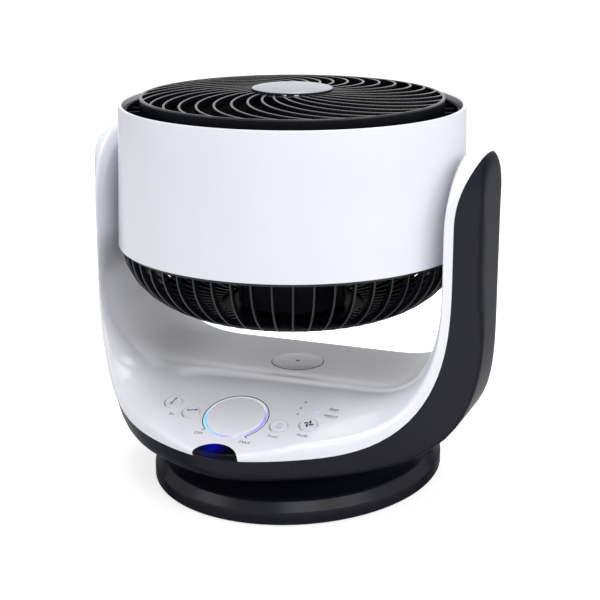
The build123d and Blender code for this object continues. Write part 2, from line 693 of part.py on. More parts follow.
def shell_end(depth):
    """Limit of the outer shell: each arm's end is a disc with a gently sloping edge."""
    radius = (ARM_BACK_Y - ARM_FRONT_Y) / 2 + END_EASE
    centre = Vector(0, (ARM_BACK_Y + ARM_FRONT_Y) / 2, ARM_TOP_Z - SHELL_DROP - radius)
    rim = radius - depth
    out = ARM_OUT_X - depth + END_EASE
    shoulder = (out, radius - FRONT_SLOPE - 0.6 * depth)
    part = (ARM_PART_X + END_LEAN - depth, rim)
    flat = hypot(shoulder[0] - part[0], part[1] - shoulder[1])
    ease = SHELL_ROUND / flat
    start = (shoulder[0] + (part[0] - shoulder[0]) * ease, shoulder[1] + (part[1] - shoulder[1]) * ease)
    finish = (out, shoulder[1] - SHELL_ROUND)
    rounding = Bezier(start, shoulder, finish)
    sides = Polyline(finish, (out, 0), (100, 0), (100, rim), part, start)
    face = make_face(Wire([rounding] + sides.edges()))
    frame = Plane(centre, x_dir=(1, 0, 0), z_dir=(0, -1, 0))
    disc = revolve(frame * face, Axis(centre, (1, 0, 0)), 360)
    return below(centre.Z) + disc + mirror(disc, Plane.YZ)


def cover_corners(turn, x, z):
    """The inner cover's share of the section, filled: all on the head's side of the joint."""
    back, knee, crest, nose, part, _, _, heel = yoke_corners(turn, x, z)
    return [back, knee, crest, nose, part, heel]


def outer_corners(turn, x, z):
    """The outer shell's share of the section, filled."""
    _, _, _, _, part, front, rear, heel = yoke_corners(turn, x, z)
    return [(part[0], part[1] + SEAM_GAP, part[2]), front, rear, (heel[0], heel[1] + SEAM_GAP, heel[2])]


def panel_plane(depth=0.0):
    """Plane of the control panel, origin at the dial's middle, depth mm below the surface."""
    normal = Vector(0, -sin(PANEL_TILT), cos(PANEL_TILT))
    origin = Vector(0, DIAL_Y, DIAL_Z) - normal * depth
    return Plane(origin, x_dir=(1, 0, 0), z_dir=normal)


def panel_rod(radius, top, low, x=0.0, v=0.0):
    """Round bar square to the panel between two heights above its surface."""
    return extrude(panel_plane(-low) * Pos(x, v) * Circle(radius), top - low)


def window_rod(radius):
    return panel_rod(radius, 30.0, -30.0, 0.0, WINDOW_AT)


def panel_holes():
    """What is cut through the cover for the controls."""
    cuts = [panel_rod(DIAL_R + MOVE_GAP + LIGHT_RING_W, 5.0, -8.0)]
    for x, v in BUTTONS.values():
        cuts.append(panel_rod(BUTTON_R + MOVE_GAP, 5.0, -8.0, x, v))
    for x, v in LED_SPOTS:
        cuts.append(panel_rod(LED_R, 5.0, -8.0, x, v))
    return cuts


def saddle_recess():
    disc = rod(DISC_R, SADDLE_Z + DISC_PROUD - DISC_T, SADDLE_Z + 10)
    return Pos(0, DISC_Y, 0) * disc


def trunnion_hole(radius):
    hole = rod_x(radius, ARM_IN_X - 5, ARM_IN_X + SHELL_WALL + 1)
    return hole + mirror(hole, Plane.YZ)


def make_yoke():
    hollow = yoke_loft(hollow_corners) & shell_end(SHELL_WALL)
    cover = (yoke_loft(cover_corners) & cover_end()) - hollow
    outer = (yoke_loft(outer_corners) & shell_end(0.0)) - hollow
    window = cover & window_rod(WINDOW_R)
    cover = cover - window_rod(WINDOW_R)
    for cut in panel_holes():
        cover -= cut
    cover -= saddle_recess()
    cover -= trunnion_hole(BUSH_R)
    outer -= rod(CARRIER_BUSH_R + 2.0, BELLY_Z - 5, BELLY_Z + 10)
    for x, y in shell_screw_spots():
        outer -= Pos(x, y, 0) * rod(SCREW_R, BELLY_Z - 5, BELLY_Z + 10)
    save("inner_cover", cover)
    save("outer_shell", outer)
    save("display_window", window)
    save("saddle_disc", Pos(0, DISC_Y, 0) * rod(DISC_R - 0.1, SADDLE_Z + DISC_PROUD - DISC_T,
                                               SADDLE_Z + DISC_PROUD))
    return cover


def shell_screw_spots():
    near = 6.0
    return [(sx * (CARRIER_HALF_X - near), y) for sx in (-1, 1)
            for y in (CARRIER_FRONT_Y + near, CARRIER_BACK_Y - near)]


def frame_top():
    return -FRAME_DROP


def make_controls(cover):
    save("dial", dial())
    save("light_ring", light_ring())
    for name, (x, v) in BUTTONS.items():
        save(name, button(x, v))
    save("indicator_lenses", group([panel_rod(LED_R, 0.2, frame_top(), x, v) for x, v in LED_SPOTS]))
    save("control_frame", control_frame(cover))
    save("control_board", control_board())


def dial():
    cap = panel_rod(DIAL_R, DIAL_PROUD, DIAL_PROUD - DIAL_T)
    cap = fillet(cap.edges().filter_by(GeomType.CIRCLE).sort_by(Axis.Z)[-1], 0.8)
    grip = panel_rod(1.4, DIAL_PROUD + 1, DIAL_PROUD - 0.4, 0.0, -(DIAL_R - 5.0))
    return cap - grip + panel_rod(DIAL_STEM_R, 0.0, frame_top() - FRAME_T)


def light_ring():
    outer = DIAL_R + MOVE_GAP + LIGHT_RING_W
    ring = panel_rod(outer, 0.3, frame_top()) - panel_rod(outer - LIGHT_RING_W, 1.0, frame_top() - 1)
    return ring


def button(x, v):
    cap = panel_rod(BUTTON_R, BUTTON_PROUD, BUTTON_PROUD - BUTTON_T, x, v)
    cap = fillet(cap.edges().filter_by(GeomType.CIRCLE).sort_by(Axis.Z)[-1], 0.5)
    return cap + panel_rod(BUTTON_STEM_R, 0.0, frame_top() - FRAME_T, x, v)


def control_frame(cover):
    """Plate under the panel with a bore for each stem, on posts up to the cover's inner face."""
    top, low = frame_top(), frame_top() - FRAME_T
    flat = Pos(0, FRAME_AT) * RectangleRounded(FRAME_LONG, FRAME_WIDE, POST_IN)
    plate = extrude(panel_plane(-low) * flat, FRAME_T)
    half = FRAME_WIDE / 2 - POST_IN
    for x, v in ((FRAME_LONG / 2 - POST_IN, FRAME_AT - half), (REAR_POST_X, FRAME_AT + half)):
        plate += panel_rod(POST_R, -1.0, top, x, v) - cover
        plate += panel_rod(POST_R, -1.0, top, -x, v) - cover
    plate -= panel_rod(DIAL_STEM_R + RUN_GAP, top + 1, low - 1)
    for x, v in BUTTONS.values():
        plate -= panel_rod(BUTTON_STEM_R + RUN_GAP, top + 1, low - 1, x, v)
    return plate


def control_board():
    top = frame_top() - FRAME_T - BUTTON_TRAVEL - MOVE_GAP
    low = top - BOARD_T
    flat = RectangleRounded(FRAME_LONG - 2 * BOARD_IN, FRAME_WIDE - 2 * BOARD_IN, 3)
    board = extrude(panel_plane(-low) * Pos(0, FRAME_AT) * flat, BOARD_T)
    for sx in (-1, 1):
        board += panel_rod(2.5, frame_top() - FRAME_T, top, sx * (FRAME_LONG / 2 - 3 * BOARD_IN), 0.0)
    board += extrude(panel_plane(-low + 3.0) * Rectangle(24, 18), 3.0)
    return board


# ---------------------------------------------------------------- foot and swivel
def foot_outline(shrink):
    return Pos(0, FOOT_Y) * Ellipse(FOOT_HALF_X - shrink, FOOT_HALF_Y - shrink)


def foot_solid(wall):
    """The foot's outer form, set in by wall: band, sloping shoulder and a rise to the neck."""
    band = extrude(Plane.XY.offset(PAD_H) * foot_outline(wall), FOOT_BAND_Z - PAD_H - wall * 0.4)
    low_z = FOOT_BAND_Z - wall * 0.4
    mid_z = FOOT_SHOULDER_Z - wall * 0.7
    top_z = FOOT_TOP_Z - wall
    shoulder = loft([Plane.XY.offset(low_z) * foot_outline(wall),
                     Plane.XY.offset(mid_z) * foot_outline(wall + FOOT_TAPER)])
    rise = loft([Plane.XY.offset(mid_z) * foot_outline(wall + FOOT_TAPER),
                 Plane.XY.offset(top_z) * Circle(FOOT_NECK_R - wall)])
    return band + shoulder + rise


def foot_shell():
    solid = foot_solid(0.0)
    shell = solid - foot_solid(FOOT_WALL)
    for x, y in foot_screw_spots():
        shell += (Pos(x, y, 0) * rod(FOOT_BOSS_R, PAD_H + PLATE_T, FOOT_TOP_Z)) & solid
    for x, y in foot_screw_spots():
        shell -= Pos(x, y, 0) * rod(SCREW_R, 0, FOOT_BAND_Z + 2)
    shell -= rod(SPINDLE_R, 0, FOOT_TOP_Z + 5)
    shell -= inlet_place() * Cylinder(INLET_R, 40)
    for turn in FOUR_WAYS:
        shell -= Rot(0, 0, turn) * Pos(SPINDLE_SCREW_AT, 0, 0) * rod(SCREW_R, 30, FOOT_TOP_Z + 1)
    return shell


def inlet_place():
    back = FOOT_Y + FOOT_HALF_Y
    return Location((0, back, INLET_Z), (90, 0, 0))


def power_inlet():
    back = FOOT_Y + FOOT_HALF_Y
    frame = Plane((0, back - 1.0, INLET_Z), x_dir=(1, 0, 0), z_dir=(0, 1, 0))
    low = 16.0
    body = extrude(frame.offset(-low) * Circle(INLET_R), low)
    bore = extrude(frame.offset(-INLET_DEPTH) * Circle(INLET_BORE_R), INLET_DEPTH + 1)
    pin = extrude(frame.offset(-INLET_DEPTH) * Circle(1.0), INLET_DEPTH - 1)
    return body - bore + pin


def rim_spot(turn_deg, inset):
    """Point at that bearing on the foot's oval, set in from its edge."""
    turn = radians(turn_deg)
    return (FOOT_HALF_X - inset) * cos(turn), FOOT_Y + (FOOT_HALF_Y - inset) * sin(turn)


def foot_screw_spots():
    """Round the rim, but not at the very back, where the inlet is."""
    return [rim_spot(turn, FOOT_SCREW_IN) for turn in (30, 150, 210, 270, 330)]


def pad_spots():
    """The middle one lies under the swivel axis, the others round the rim."""
    return [(0.0, 0.0)] + [rim_spot(360.0 * i / PAD_COUNT, PAD_IN) for i in range(PAD_COUNT)]


def foot_plate():
    plate = extrude(Plane.XY.offset(PAD_H) * foot_outline(FOOT_WALL), PLATE_T)
    for x, y in pad_spots():
        plate -= Pos(x, y, 0) * rod(PAD_R, 0, PAD_T)
    for x, y in foot_screw_spots():
        plate -= Pos(x, y, 0) * rod(SCREW_R, 0, PAD_H + PLATE_T + 1)
        plate -= Pos(x, y, 0) * rod(SCREW_HEAD_R, 0, PAD_H + SCREW_HEAD_H)
    return plate


def foot_pads():
    return group([Pos(x, y, 0) * rod(PAD_R, 0, PAD_T) for x, y in pad_spots()])


def foot_screws():
    screw = rod(SCREW_HEAD_R, PAD_H, PAD_H + SCREW_HEAD_H) + rod(SCREW_R, PAD_H, FOOT_BAND_Z + 2)
    return group([Pos(x, y, 0) * screw for x, y in foot_screw_spots()])


def foot_weight():
    low = PAD_H + PLATE_T
    ring = Plane.XY.offset(low) * foot_outline(WEIGHT_IN)
    return extrude(ring, WEIGHT_T) - rod(SPINDLE_BORE + 4, low - 1, low + WEIGHT_T + 1)


def stack():
    """Heights of the swivel's parts, from the bearing up."""
    plate = BELLY_Z + SHELL_WALL + SEAM_GAP
    bush = plate + CARRIER_T + 2.0
    gear = bush + STACK_GAP
    collar = gear + GEAR_T
    return plate, bush, gear, collar


def swivel_spindle():
    _, _, _, collar = stack()
    top = FOOT_TOP_Z - FOOT_WALL
    tube_part = tube(SPINDLE_R, SPINDLE_BORE, top - SPINDLE_FLANGE_T, collar + COLLAR_H)
    flange = tube(SPINDLE_FLANGE_R, SPINDLE_BORE, top - SPINDLE_FLANGE_T, top)
    spindle = tube_part + flange
    for turn in FOUR_WAYS:
        spindle -= Rot(0, 0, turn) * Pos(SPINDLE_SCREW_AT, 0, 0) * rod(SCREW_R, 20, FOOT_TOP_Z)
    return spindle


def spindle_screws():
    low = FOOT_TOP_Z - FOOT_WALL - SPINDLE_FLANGE_T
    screw = rod(SCREW_HEAD_R, low - SCREW_HEAD_H, low) + rod(SCREW_R, low, FOOT_TOP_Z - 0.5)
    return group([Rot(0, 0, turn) * Pos(SPINDLE_SCREW_AT, 0, 0) * screw for turn in FOUR_WAYS])


def swivel_gear():
    _, _, gear, _ = stack()
    flat = gear_outline(SWIVEL_TEETH, phase=pi / 2) - Circle(SPINDLE_R)
    return extrude(Plane.XY.offset(gear) * flat, GEAR_T)


def swivel_pinion_y():
    return MODULE * (SWIVEL_TEETH + PINION_TEETH) / 2


def swivel_pinion():
    _, _, gear, _ = stack()
    flat = gear_outline(PINION_TEETH, phase=-pi / 2 + pi / PINION_TEETH)
    pinion = extrude(Plane.XY.offset(gear) * flat, GEAR_T)
    pinion += rod(PINION_SHAFT_R, gear, gear + GEAR_T + 8.0)
    return Pos(0, swivel_pinion_y(), 0) * pinion


def swivel_motor():
    plate, _, gear, _ = stack()
    low = gear + GEAR_T + COLLAR_H + 1.0
    y = swivel_pinion_y()
    body = Pos(0, y, 0) * rod(SWIVEL_MOTOR_R, low, low + SWIVEL_MOTOR_H)
    ears = Pos(0, y, 0) * extrude(Plane.XY.offset(low) * SlotOverall(2 * SWIVEL_MOTOR_R + 18, 10), 2.0)
    motor = body + ears
    for sx in (-1, 1):
        motor += Pos(sx * (SWIVEL_MOTOR_R + 4.5), y, 0) * rod(3.5, plate + CARRIER_T, low)
    return motor - Pos(0, y, 0) * rod(PINION_SHAFT_R + RUN_GAP, low - 1, low + 5)


def swivel_collar():
    _, _, _, collar = stack()
    return tube(COLLAR_R, SPINDLE_R, collar, collar + COLLAR_H)


def swivel_bearing():
    return tube(BEARING_OUT_R, BEARING_IN_R, FOOT_TOP_Z, BELLY_Z - STACK_GAP)


def swivel_carrier():
    plate, bush, _, _ = stack()
    middle = (CARRIER_FRONT_Y + CARRIER_BACK_Y) / 2
    flat = Pos(0, middle) * RectangleRounded(2 * CARRIER_HALF_X, CARRIER_BACK_Y - CARRIER_FRONT_Y, 8)
    carrier = extrude(Plane.XY.offset(plate) * flat, CARRIER_T)
    carrier += rod(CARRIER_BUSH_R, BELLY_Z + 0.5, bush)
    for x, y in shell_screw_spots():
        carrier -= Pos(x, y, 0) * rod(SCREW_R, plate - 1, plate + CARRIER_T + 1)
    return carrier - rod(SPINDLE_R + RUN_GAP, BELLY_Z - 1, bush + 1)


def shell_screws():
    low = BELLY_Z - SEAM_GAP
    screw = rod(SCREW_HEAD_R, low - 1.0, low) + rod(SCREW_R, low, low + SHELL_WALL + CARRIER_T)
    return group([Pos(x, y, 0) * screw for x, y in shell_screw_spots()])


def main_board():
    plate, _, _, _ = stack()
    low = plate + CARRIER_T + 6.0
    board = Pos(0, -48, 0) * extrude(Plane.XY.offset(low) * Rectangle(80, 32), BOARD_T)
    for sx in (-1, 1):
        board += Pos(sx * 34, -48, 0) * rod(3.0, plate + CARRIER_T, low)
    standing = (Align.CENTER, Align.CENTER, Align.MIN)
    board += Pos(-20, -46, low + BOARD_T) * Box(18, 14, 10, align=standing)
    board += Pos(22, -46, low + BOARD_T) * Cylinder(5, 12, align=standing)
    return board


def make_foot():
    save("foot_shell", foot_shell())
    save("foot_plate", foot_plate())
    save("foot_pads", foot_pads())
    save("foot_screws", foot_screws())
    save("foot_weight", foot_weight())
    save("power_inlet", power_inlet())
    save("swivel_spindle", swivel_spindle())
    save("spindle_screws", spindle_screws())
    save("swivel_gear", swivel_gear())
    save("swivel_collar", swivel_collar())
    save("swivel_bearing", swivel_bearing())
    save("swivel_carrier", swivel_carrier())
    save("swivel_motor", swivel_motor())
    save("swivel_pinion", swivel_pinion())
    save("shell_screws", shell_screws())
    save("main_board", main_board())


os.makedirs("parts", exist_ok=True)
make_head()
make_controls(make_yoke())
make_foot()
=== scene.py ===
"""Air circulator fan: a drum head that tilts in a two-tone yoke, which turns on an oval foot."""

from math import acos, copysign, cos, hypot, pi, radians, sin, tan

import bmesh
import bpy
from bpy.props import FloatProperty, FloatVectorProperty, IntProperty, PointerProperty
from mathutils import Matrix, Vector


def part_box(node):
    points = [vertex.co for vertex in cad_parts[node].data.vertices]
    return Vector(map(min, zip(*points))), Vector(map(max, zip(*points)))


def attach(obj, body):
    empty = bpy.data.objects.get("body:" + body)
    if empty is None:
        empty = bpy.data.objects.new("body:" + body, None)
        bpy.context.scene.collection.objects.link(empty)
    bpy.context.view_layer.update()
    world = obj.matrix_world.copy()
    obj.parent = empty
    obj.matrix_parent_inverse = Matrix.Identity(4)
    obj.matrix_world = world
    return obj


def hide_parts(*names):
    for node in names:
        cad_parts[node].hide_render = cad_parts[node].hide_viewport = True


bl_info = {
    "name": "Air circulator fan",
    "version": (1, 0, 0),
    "blender": (4, 5, 0),
    "location": "3D View > Sidebar > Air Fan",
    "description": "Builds the finished skins, markings and stage of an air circulator fan",
    "category": "Add Mesh",
}

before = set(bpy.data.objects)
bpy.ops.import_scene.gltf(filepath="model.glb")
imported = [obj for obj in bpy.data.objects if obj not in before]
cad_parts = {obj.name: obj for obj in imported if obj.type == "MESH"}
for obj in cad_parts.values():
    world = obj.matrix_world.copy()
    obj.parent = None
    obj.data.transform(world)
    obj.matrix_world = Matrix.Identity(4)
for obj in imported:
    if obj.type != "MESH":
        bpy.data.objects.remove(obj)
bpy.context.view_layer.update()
MM = 0.001

# ---- places and sizes, in mm
DRUM_LOW, DRUM_HIGH = (corner.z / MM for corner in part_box("drum_shell"))
DRUM_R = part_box("drum_shell")[1].x / MM
DIAL_AT = Vector((0.0, -119.4, 86.0))     # middle of the dial on the panel
PANEL_TILT = radians(19.5)
TILT_Z = 242.0                            # height of the arms' pivots
DISC_AT, DISC_R = Vector((0.0, 11.5, 90.0)), 21.3
BUTTONS = {"button_tilt": (-55.3, 7.5), "button_swivel": (-36.5, -1.5),
           "button_timer": (36.7, -3.6), "button_mode": (58.5, 2.0)}     # across and up the panel
BUTTON_R, DIAL_R = 6.4, 22.6
BUTTON_TOP = 0.5                          # height of a button's printed top over the panel

# ---- the yoke's form, in mm
TURN_X, TURN_Z = 60.0, 200.0              # the yoke's sections fan out from this line
ARM_IN_X, ARM_OUT_X, ARM_PART_X = 142.5, 163.0, 148.8
SADDLE_Z, BELLY_Z, PART_Z = 90.0, 44.0, 67.0
INSIDE_POWER, PART_POWER, BELLY_POWER = 2.95, 3.15, 4.67     # 2 is an ellipse, more is squarer
ARM_FRONT_Y, FRONT_Y = -54.0, -161.6      # the shells' joint, on an arm and in the middle
PLAN_POWER, PLAN_EASE = 1.7, 0.97         # bend of that joint in plan
LEAN_FROM, LEAN_MOST, LEAN_RATE = 232.0, 14.0, 0.0056
COVER_DEPTH, SEAM = 6.3, 0.1
# Each pair holds the value on an arm, then the value in the middle of the saddle.
BACK_Y = (50.0, 70.0)
KNEE_Y, KNEE_ROUND = (-40.0, -23.0), (7.0, 20.0)
CREST_Y, CREST_ROUND = (-55.0, -71.0), (2.5, 29.0)
LIP_REACH, LIP_DEPTH, LIP_ROUND = (12.0, 3.0), (5.0, 11.0), 6.0
FRONT_SLOPE, FRONT_BEND = (26.0, 12.0), (16.0, 12.0)
REAR_SLOPE, REAR_BEND = (12.0, 0.0), (8.0, 21.0)
CORNER_SLOPE, CORNER_BEND = 33.0, 8.0     # added and taken off half way round a corner
# Round ends of the arms: middle (y, z), then radius.
COVER_END = (-8.0, 227.0, 58.0)
SHELL_END = (-2.0, 227.0, 52.0)
END_RISE, END_FULLNESS = 53.0, 0.86       # a fullness under 1 is more than a half ellipse's


def linear(hex_colour):
    """sRGB hex, such as 'E8E8EE', to the linear colour that shaders take."""
    parts = [int(hex_colour[i:i + 2], 16) / 255 for i in (0, 2, 4)]
    return [p / 12.92 if p <= 0.04045 else ((p + 0.055) / 1.055) ** 2.4 for p in parts] + [1.0]


class FanSizes(bpy.types.PropertyGroup):
    rib_width: FloatProperty(name="Grille rib width", description="Width of a front rib's top",
                             default=1.9 * MM, min=0.0008, max=0.004, unit="LENGTH")
    rib_count: IntProperty(name="Front ribs", description="Curved ribs in the front grille",
                           default=30, min=12, max=48)
    bowl_rib_count: IntProperty(name="Bowl ribs", description="Ribs of the rear bowl",
                                default=55, min=24, max=90)
    shell_wall: FloatProperty(name="Shell wall", description="Wall of the yoke's two shells",
                              default=1.8 * MM, min=0.001, max=0.0018, unit="LENGTH")
    seam_gap: FloatProperty(name="Button gap", description="Gap round the buttons",
                            default=0.3 * MM, min=0.0001, max=0.001, unit="LENGTH")


def colour_field(name, description, hex_colour):
    return FloatVectorProperty(name=name, description=description, default=linear(hex_colour), size=4,
                               subtype="COLOR", min=0, max=1)


class FanColours(bpy.types.PropertyGroup):
    white: colour_field("White shell", "Cover, drum and controls", "E9E9EF")
    charcoal: colour_field("Charcoal shell", "Yoke's outer shell and foot", "12131D")
    black: colour_field("Grille black", "Grilles, duct and blades", "0B0C12")
    silver: colour_field("Hub silver", "Lacquer of the hub cap", "A4A6AF")
    navy: colour_field("Display navy", "Tint of the display window", "05053C")
    ink: colour_field("Printing ink", "Marks on the panel", "3A3C48")


def fan_sizes():
    return bpy.context.scene.fan_sizes


def fan_colours():
    return bpy.context.scene.fan_colours


# ---- materials
def add(tree, kind, settings=None, links=None, stops=(), to=None):
    """Adds a shader node, sets its fields and unlinked inputs, and links its other inputs.

    A link comes from a socket, or from a node's first output. stops are a colour ramp's
    (position, colour). to is the input that the new node feeds.
    """
    node = tree.nodes.new("ShaderNode" + kind)
    for key, value in (settings or {}).items():
        if key in node.inputs:
            node.inputs[key].default_value = value
        else:
            setattr(node, key, value)
    for key, source in (links or {}).items():
        tree.links.new(getattr(source, "outputs", [source])[0], node.inputs[key])
    if stops:
        elements = node.color_ramp.elements
        while len(elements) < len(stops):
            elements.new(0.5)
        for element, (position, colour) in zip(elements, stops):
            element.position, element.color = position, colour
    if to is not None:
        tree.links.new(node.outputs[0], to)
    return node


def cleared(owner):
    """The emptied node tree of a material or a world."""
    owner.use_nodes = True
    owner.node_tree.nodes.clear()
    return owner.node_tree


def new_material(name):
    """A material, its tree, a socket with each point's place, and the input that its shader feeds."""
    material = bpy.data.materials.get(name) or bpy.data.materials.new(name)
    tree = cleared(material)
    place = add(tree, "TexCoord").outputs["Object"]
    return material, tree, place, add(tree, "OutputMaterial").inputs["Surface"]


def scaled(colour, share):
    return [min(1, c * share) for c in colour[:3]] + [1]


def moulded(name, colour, roughness, grain, bump, spread=0.05, level=0.5, fade=False):
    """Injection-moulded plastic. grain is the size in mm of its texture, bump its depth in mm.

    fade takes the gloss away where the surface is seen at a slant.
    """
    material, tree, place, surface = new_material(name)
    fine = add(tree, "TexNoise", {"Scale": 1 / (grain * MM), "Detail": 3.0}, {"Vector": place})
    cloud = add(tree, "TexNoise", {"Scale": 22.0, "Detail": 2.0}, {"Vector": place})
    tint = add(tree, "ValToRGB", links={"Fac": cloud},
               stops=[(0.3, scaled(colour, 1 - spread)), (0.7, scaled(colour, 1 + spread))])
    polish = add(tree, "MapRange", {"To Min": roughness * 0.85, "To Max": roughness * 1.2}, {"Value": cloud})
    relief = add(tree, "Bump", {"Strength": 1.0, "Distance": bump * MM}, {"Height": fine})
    links = {"Base Color": tint, "Roughness": polish, "Normal": relief}
    if fade:
        slant = add(tree, "LayerWeight", {"Blend": 0.5}).outputs["Facing"]
        dulling = {"From Min": 0.25, "From Max": 0.58, "To Min": level, "To Max": 0.01}
        links["Specular IOR Level"] = add(tree, "MapRange", dulling, {"Value": slant})
    add(tree, "BsdfPrincipled", {"IOR": 1.53, "Specular IOR Level": level}, links, to=surface)
    return material


def white_abs():
    # Polished moulded ABS: a clean cool white whose reflections are a little broken by orange peel.
    return moulded("white_abs_polished", fan_colours().white, 0.17, 3.2, 0.006, 0.012)


def charcoal_abs():
    # Polished dark ABS: near black, with soft wide highlights along its round edges.
    return moulded("charcoal_abs_polished", fan_colours().charcoal, 0.24, 3.2, 0.006, 0.08, 0.2, True)


def black_abs():
    # Polished black ABS of the grilles: the ribs' top edges catch the light as grey lines.
    return moulded("black_abs_grille", fan_colours().black, 0.22, 2.4, 0.006, 0.1, 0.42)


def black_abs_deep():
    # The same ABS on upright walls, which reflect little: nearly black.
    return moulded("black_abs_walls", fan_colours().black, 0.3, 2.4, 0.006, 0.1, 0.12, True)


def black_satin():
    # Spark-eroded mould finish on inner mouldings and seams: dull black with a fine grain.
    return moulded("black_pp_satin", fan_colours().black, 0.5, 0.5, 0.03, 0.12, 0.4)


def printing_ink():
    # Pad-printed ink, a few hundredths of a millimetre thick: dull and slightly uneven.
    return moulded("pad_printed_ink", fan_colours().ink, 0.55, 0.4, 0.01, 0.1, 0.3)


def faint_ink():
    # Pale grey pad-printed ink: thin lines round the buttons, and the words on the timer's button.
    return moulded("pale_printed_ink", linear("BFC0CC"), 0.5, 0.4, 0.01, 0.05, 0.3)


def silver_lacquer():
    # Metallic lacquer on moulded plastic: fine flakes under a satin clear coat.
    material, tree, place, surface = new_material("silver_lacquer")
    flake_size = 0.35 * MM                # coarser than real flakes, so that they show
    flake = add(tree, "TexVoronoi", {"Scale": 1 / flake_size}, {"Vector": place})
    base = list(fan_colours().silver)
    tint = add(tree, "ValToRGB", links={"Fac": flake.outputs["Color"]},
               stops=[(0.2, scaled(base, 0.9)), (0.8, base)])
    add(tree, "BsdfPrincipled",
        {"Metallic": 0.55, "Roughness": 0.36, "Coat Weight": 0.4, "Coat Roughness": 0.15},
        {"Base Color": tint}, to=surface)
    return material


def metal(name, hex_colour, roughness, grain):
    """Bare or plated metal. grain is the size in mm of its mottling."""
    material, tree, place, surface = new_material(name)
    fine = add(tree, "TexNoise", {"Scale": 1 / (grain * MM), "Detail": 4.0}, {"Vector": place})
    colour = linear(hex_colour)
    tint = add(tree, "ValToRGB", links={"Fac": fine}, stops=[(0.35, scaled(colour, 0.85)), (0.65, colour)])
    rough = add(tree, "MapRange", {"To Min": roughness * 0.7, "To Max": roughness * 1.3}, {"Value": fine})
    add(tree, "BsdfPrincipled", {"Metallic": 1.0}, {"Base Color": tint, "Roughness": rough}, to=surface)
    return material


def display_acrylic():
    # Tinted acrylic window over a display: deep navy with a blue glow behind its middle.
    material, tree, place, surface = new_material("display_acrylic")
    local = add(tree, "Mapping", {"Location": -panel_point(-4.0, -36.0, 0.0)}, {"Vector": place})
    far = add(tree, "VectorMath", {"operation": "LENGTH"}, {"Vector": local})
    fading = {"From Min": 2 * MM, "From Max": 13 * MM, "To Min": 1.0, "To Max": 0.0}
    glow = add(tree, "MapRange", fading, {"Value": far.outputs["Value"]})
    tint = add(tree, "ValToRGB", links={"Fac": glow},
               stops=[(0.0, linear("030310")), (0.5, list(fan_colours().navy)), (1.0, linear("07077A"))])
    add(tree, "BsdfPrincipled",
        {"Roughness": 0.1, "Emission Strength": 0.35, "Specular IOR Level": 0.08},
        {"Base Color": tint, "Emission Color": tint}, to=surface)
    return material


def light_guide():
    # Diffusing light guide round the dial: lit cyan at the lower left, violet below and at the right.
    material, tree, place, surface = new_material("light_guide_diffuser")
    dial = {"vector_type": "TEXTURE", "Location": DIAL_AT * MM, "Rotation": (PANEL_TILT, 0.0, pi / 2)}
    flat = add(tree, "Mapping", dial, {"Vector": place})
    turn = add(tree, "TexGradient", {"gradient_type": "RADIAL"}, {"Vector": flat})
    white, cyan, violet = linear("E9E9F0"), linear("8FD8FF"), linear("A595F0")
    tint = add(tree, "ValToRGB", links={"Fac": turn.outputs["Fac"]},
               stops=[(0.0, violet), (0.07, linear("D4CCFA")), (0.16, violet), (0.27, violet), (0.37, white),
                      (0.68, white), (0.78, cyan), (0.9, cyan), (0.96, linear("A9BCFF"))])
    add(tree, "BsdfPrincipled", {"Roughness": 0.4, "Emission Strength": 0.35},
        {"Base Color": tint, "Emission Color": tint}, to=surface)
    return material


def light_pipe():
    # Light pipes of the indicators: the one for the mode, on the right, glows violet; the rest are off.
    material, tree, place, surface = new_material("light_pipe_acrylic")
    across = add(tree, "SeparateXYZ", links={"Vector": place})
    lit, glow = (add(tree, "MapRange", {"From Min": 52 * MM, "From Max": 54 * MM, "To Max": most},
                     {"Value": across})
                 for most in (1.0, 0.5))
    tint = add(tree, "ValToRGB", links={"Fac": lit},
               stops=[(0.0, linear("A4A6B4")), (1.0, linear("C4C2FF"))])
    add(tree, "BsdfPrincipled", {"Roughness": 0.25},
        {"Base Color": tint, "Emission Color": tint, "Emission Strength": glow}, to=surface)
    return material


# ---- mesh helpers
def mix(pair, share):
    return pair[0] + (pair[1] - pair[0]) * share


def turned(x, y, z, turn):
    """The point turned about the vertical axis."""
    return x * cos(turn) - y * sin(turn), x * sin(turn) + y * cos(turn), z


def heading(degrees):
    return Vector((cos(radians(degrees)), sin(radians(degrees))))


def shift(x, y, z):
    """A move by so many millimetres."""
    return Matrix.Translation(Vector((x, y, z)) * MM)


def rounded(corners, bend_steps=5, run_steps=1, closed=False):
    """Points of a path whose corners are rounded by quadratic curves.

    A corner holds its two or three coordinates, then its rounding.
    """
    count = len(corners)
    points = []
    for i, corner in enumerate(corners):
        here, rounding = Vector(corner[:-1]), corner[-1]
        inner = closed or 0 < i < count - 1
        ends = []
        for other in (corners[i - 1], corners[(i + 1) % count]):
            there = Vector(other[:-1])
            length = max((there - here).length, 1e-9)
            share = min(rounding / length, 0.9 * rounding / max(rounding + other[-1], 0.1))
            ends.append(here.lerp(there, share))
        bend = [here]
        if inner and rounding != 0:
            shares = [k / bend_steps for k in range(bend_steps + 1)]
            bend = [ends[0] * (1 - t) ** 2 + here * 2 * t * (1 - t) + ends[1] * t ** 2 for t in shares]
        if points and run_steps > 1:
            last = points[-1]
            points += [last.lerp(bend[0], k / run_steps) for k in range(1, run_steps)]
        points += bend
    if closed and run_steps > 1:
        points += [points[-1].lerp(points[0], k / run_steps) for k in range(1, run_steps)]
    return [tuple(p) for p in points]


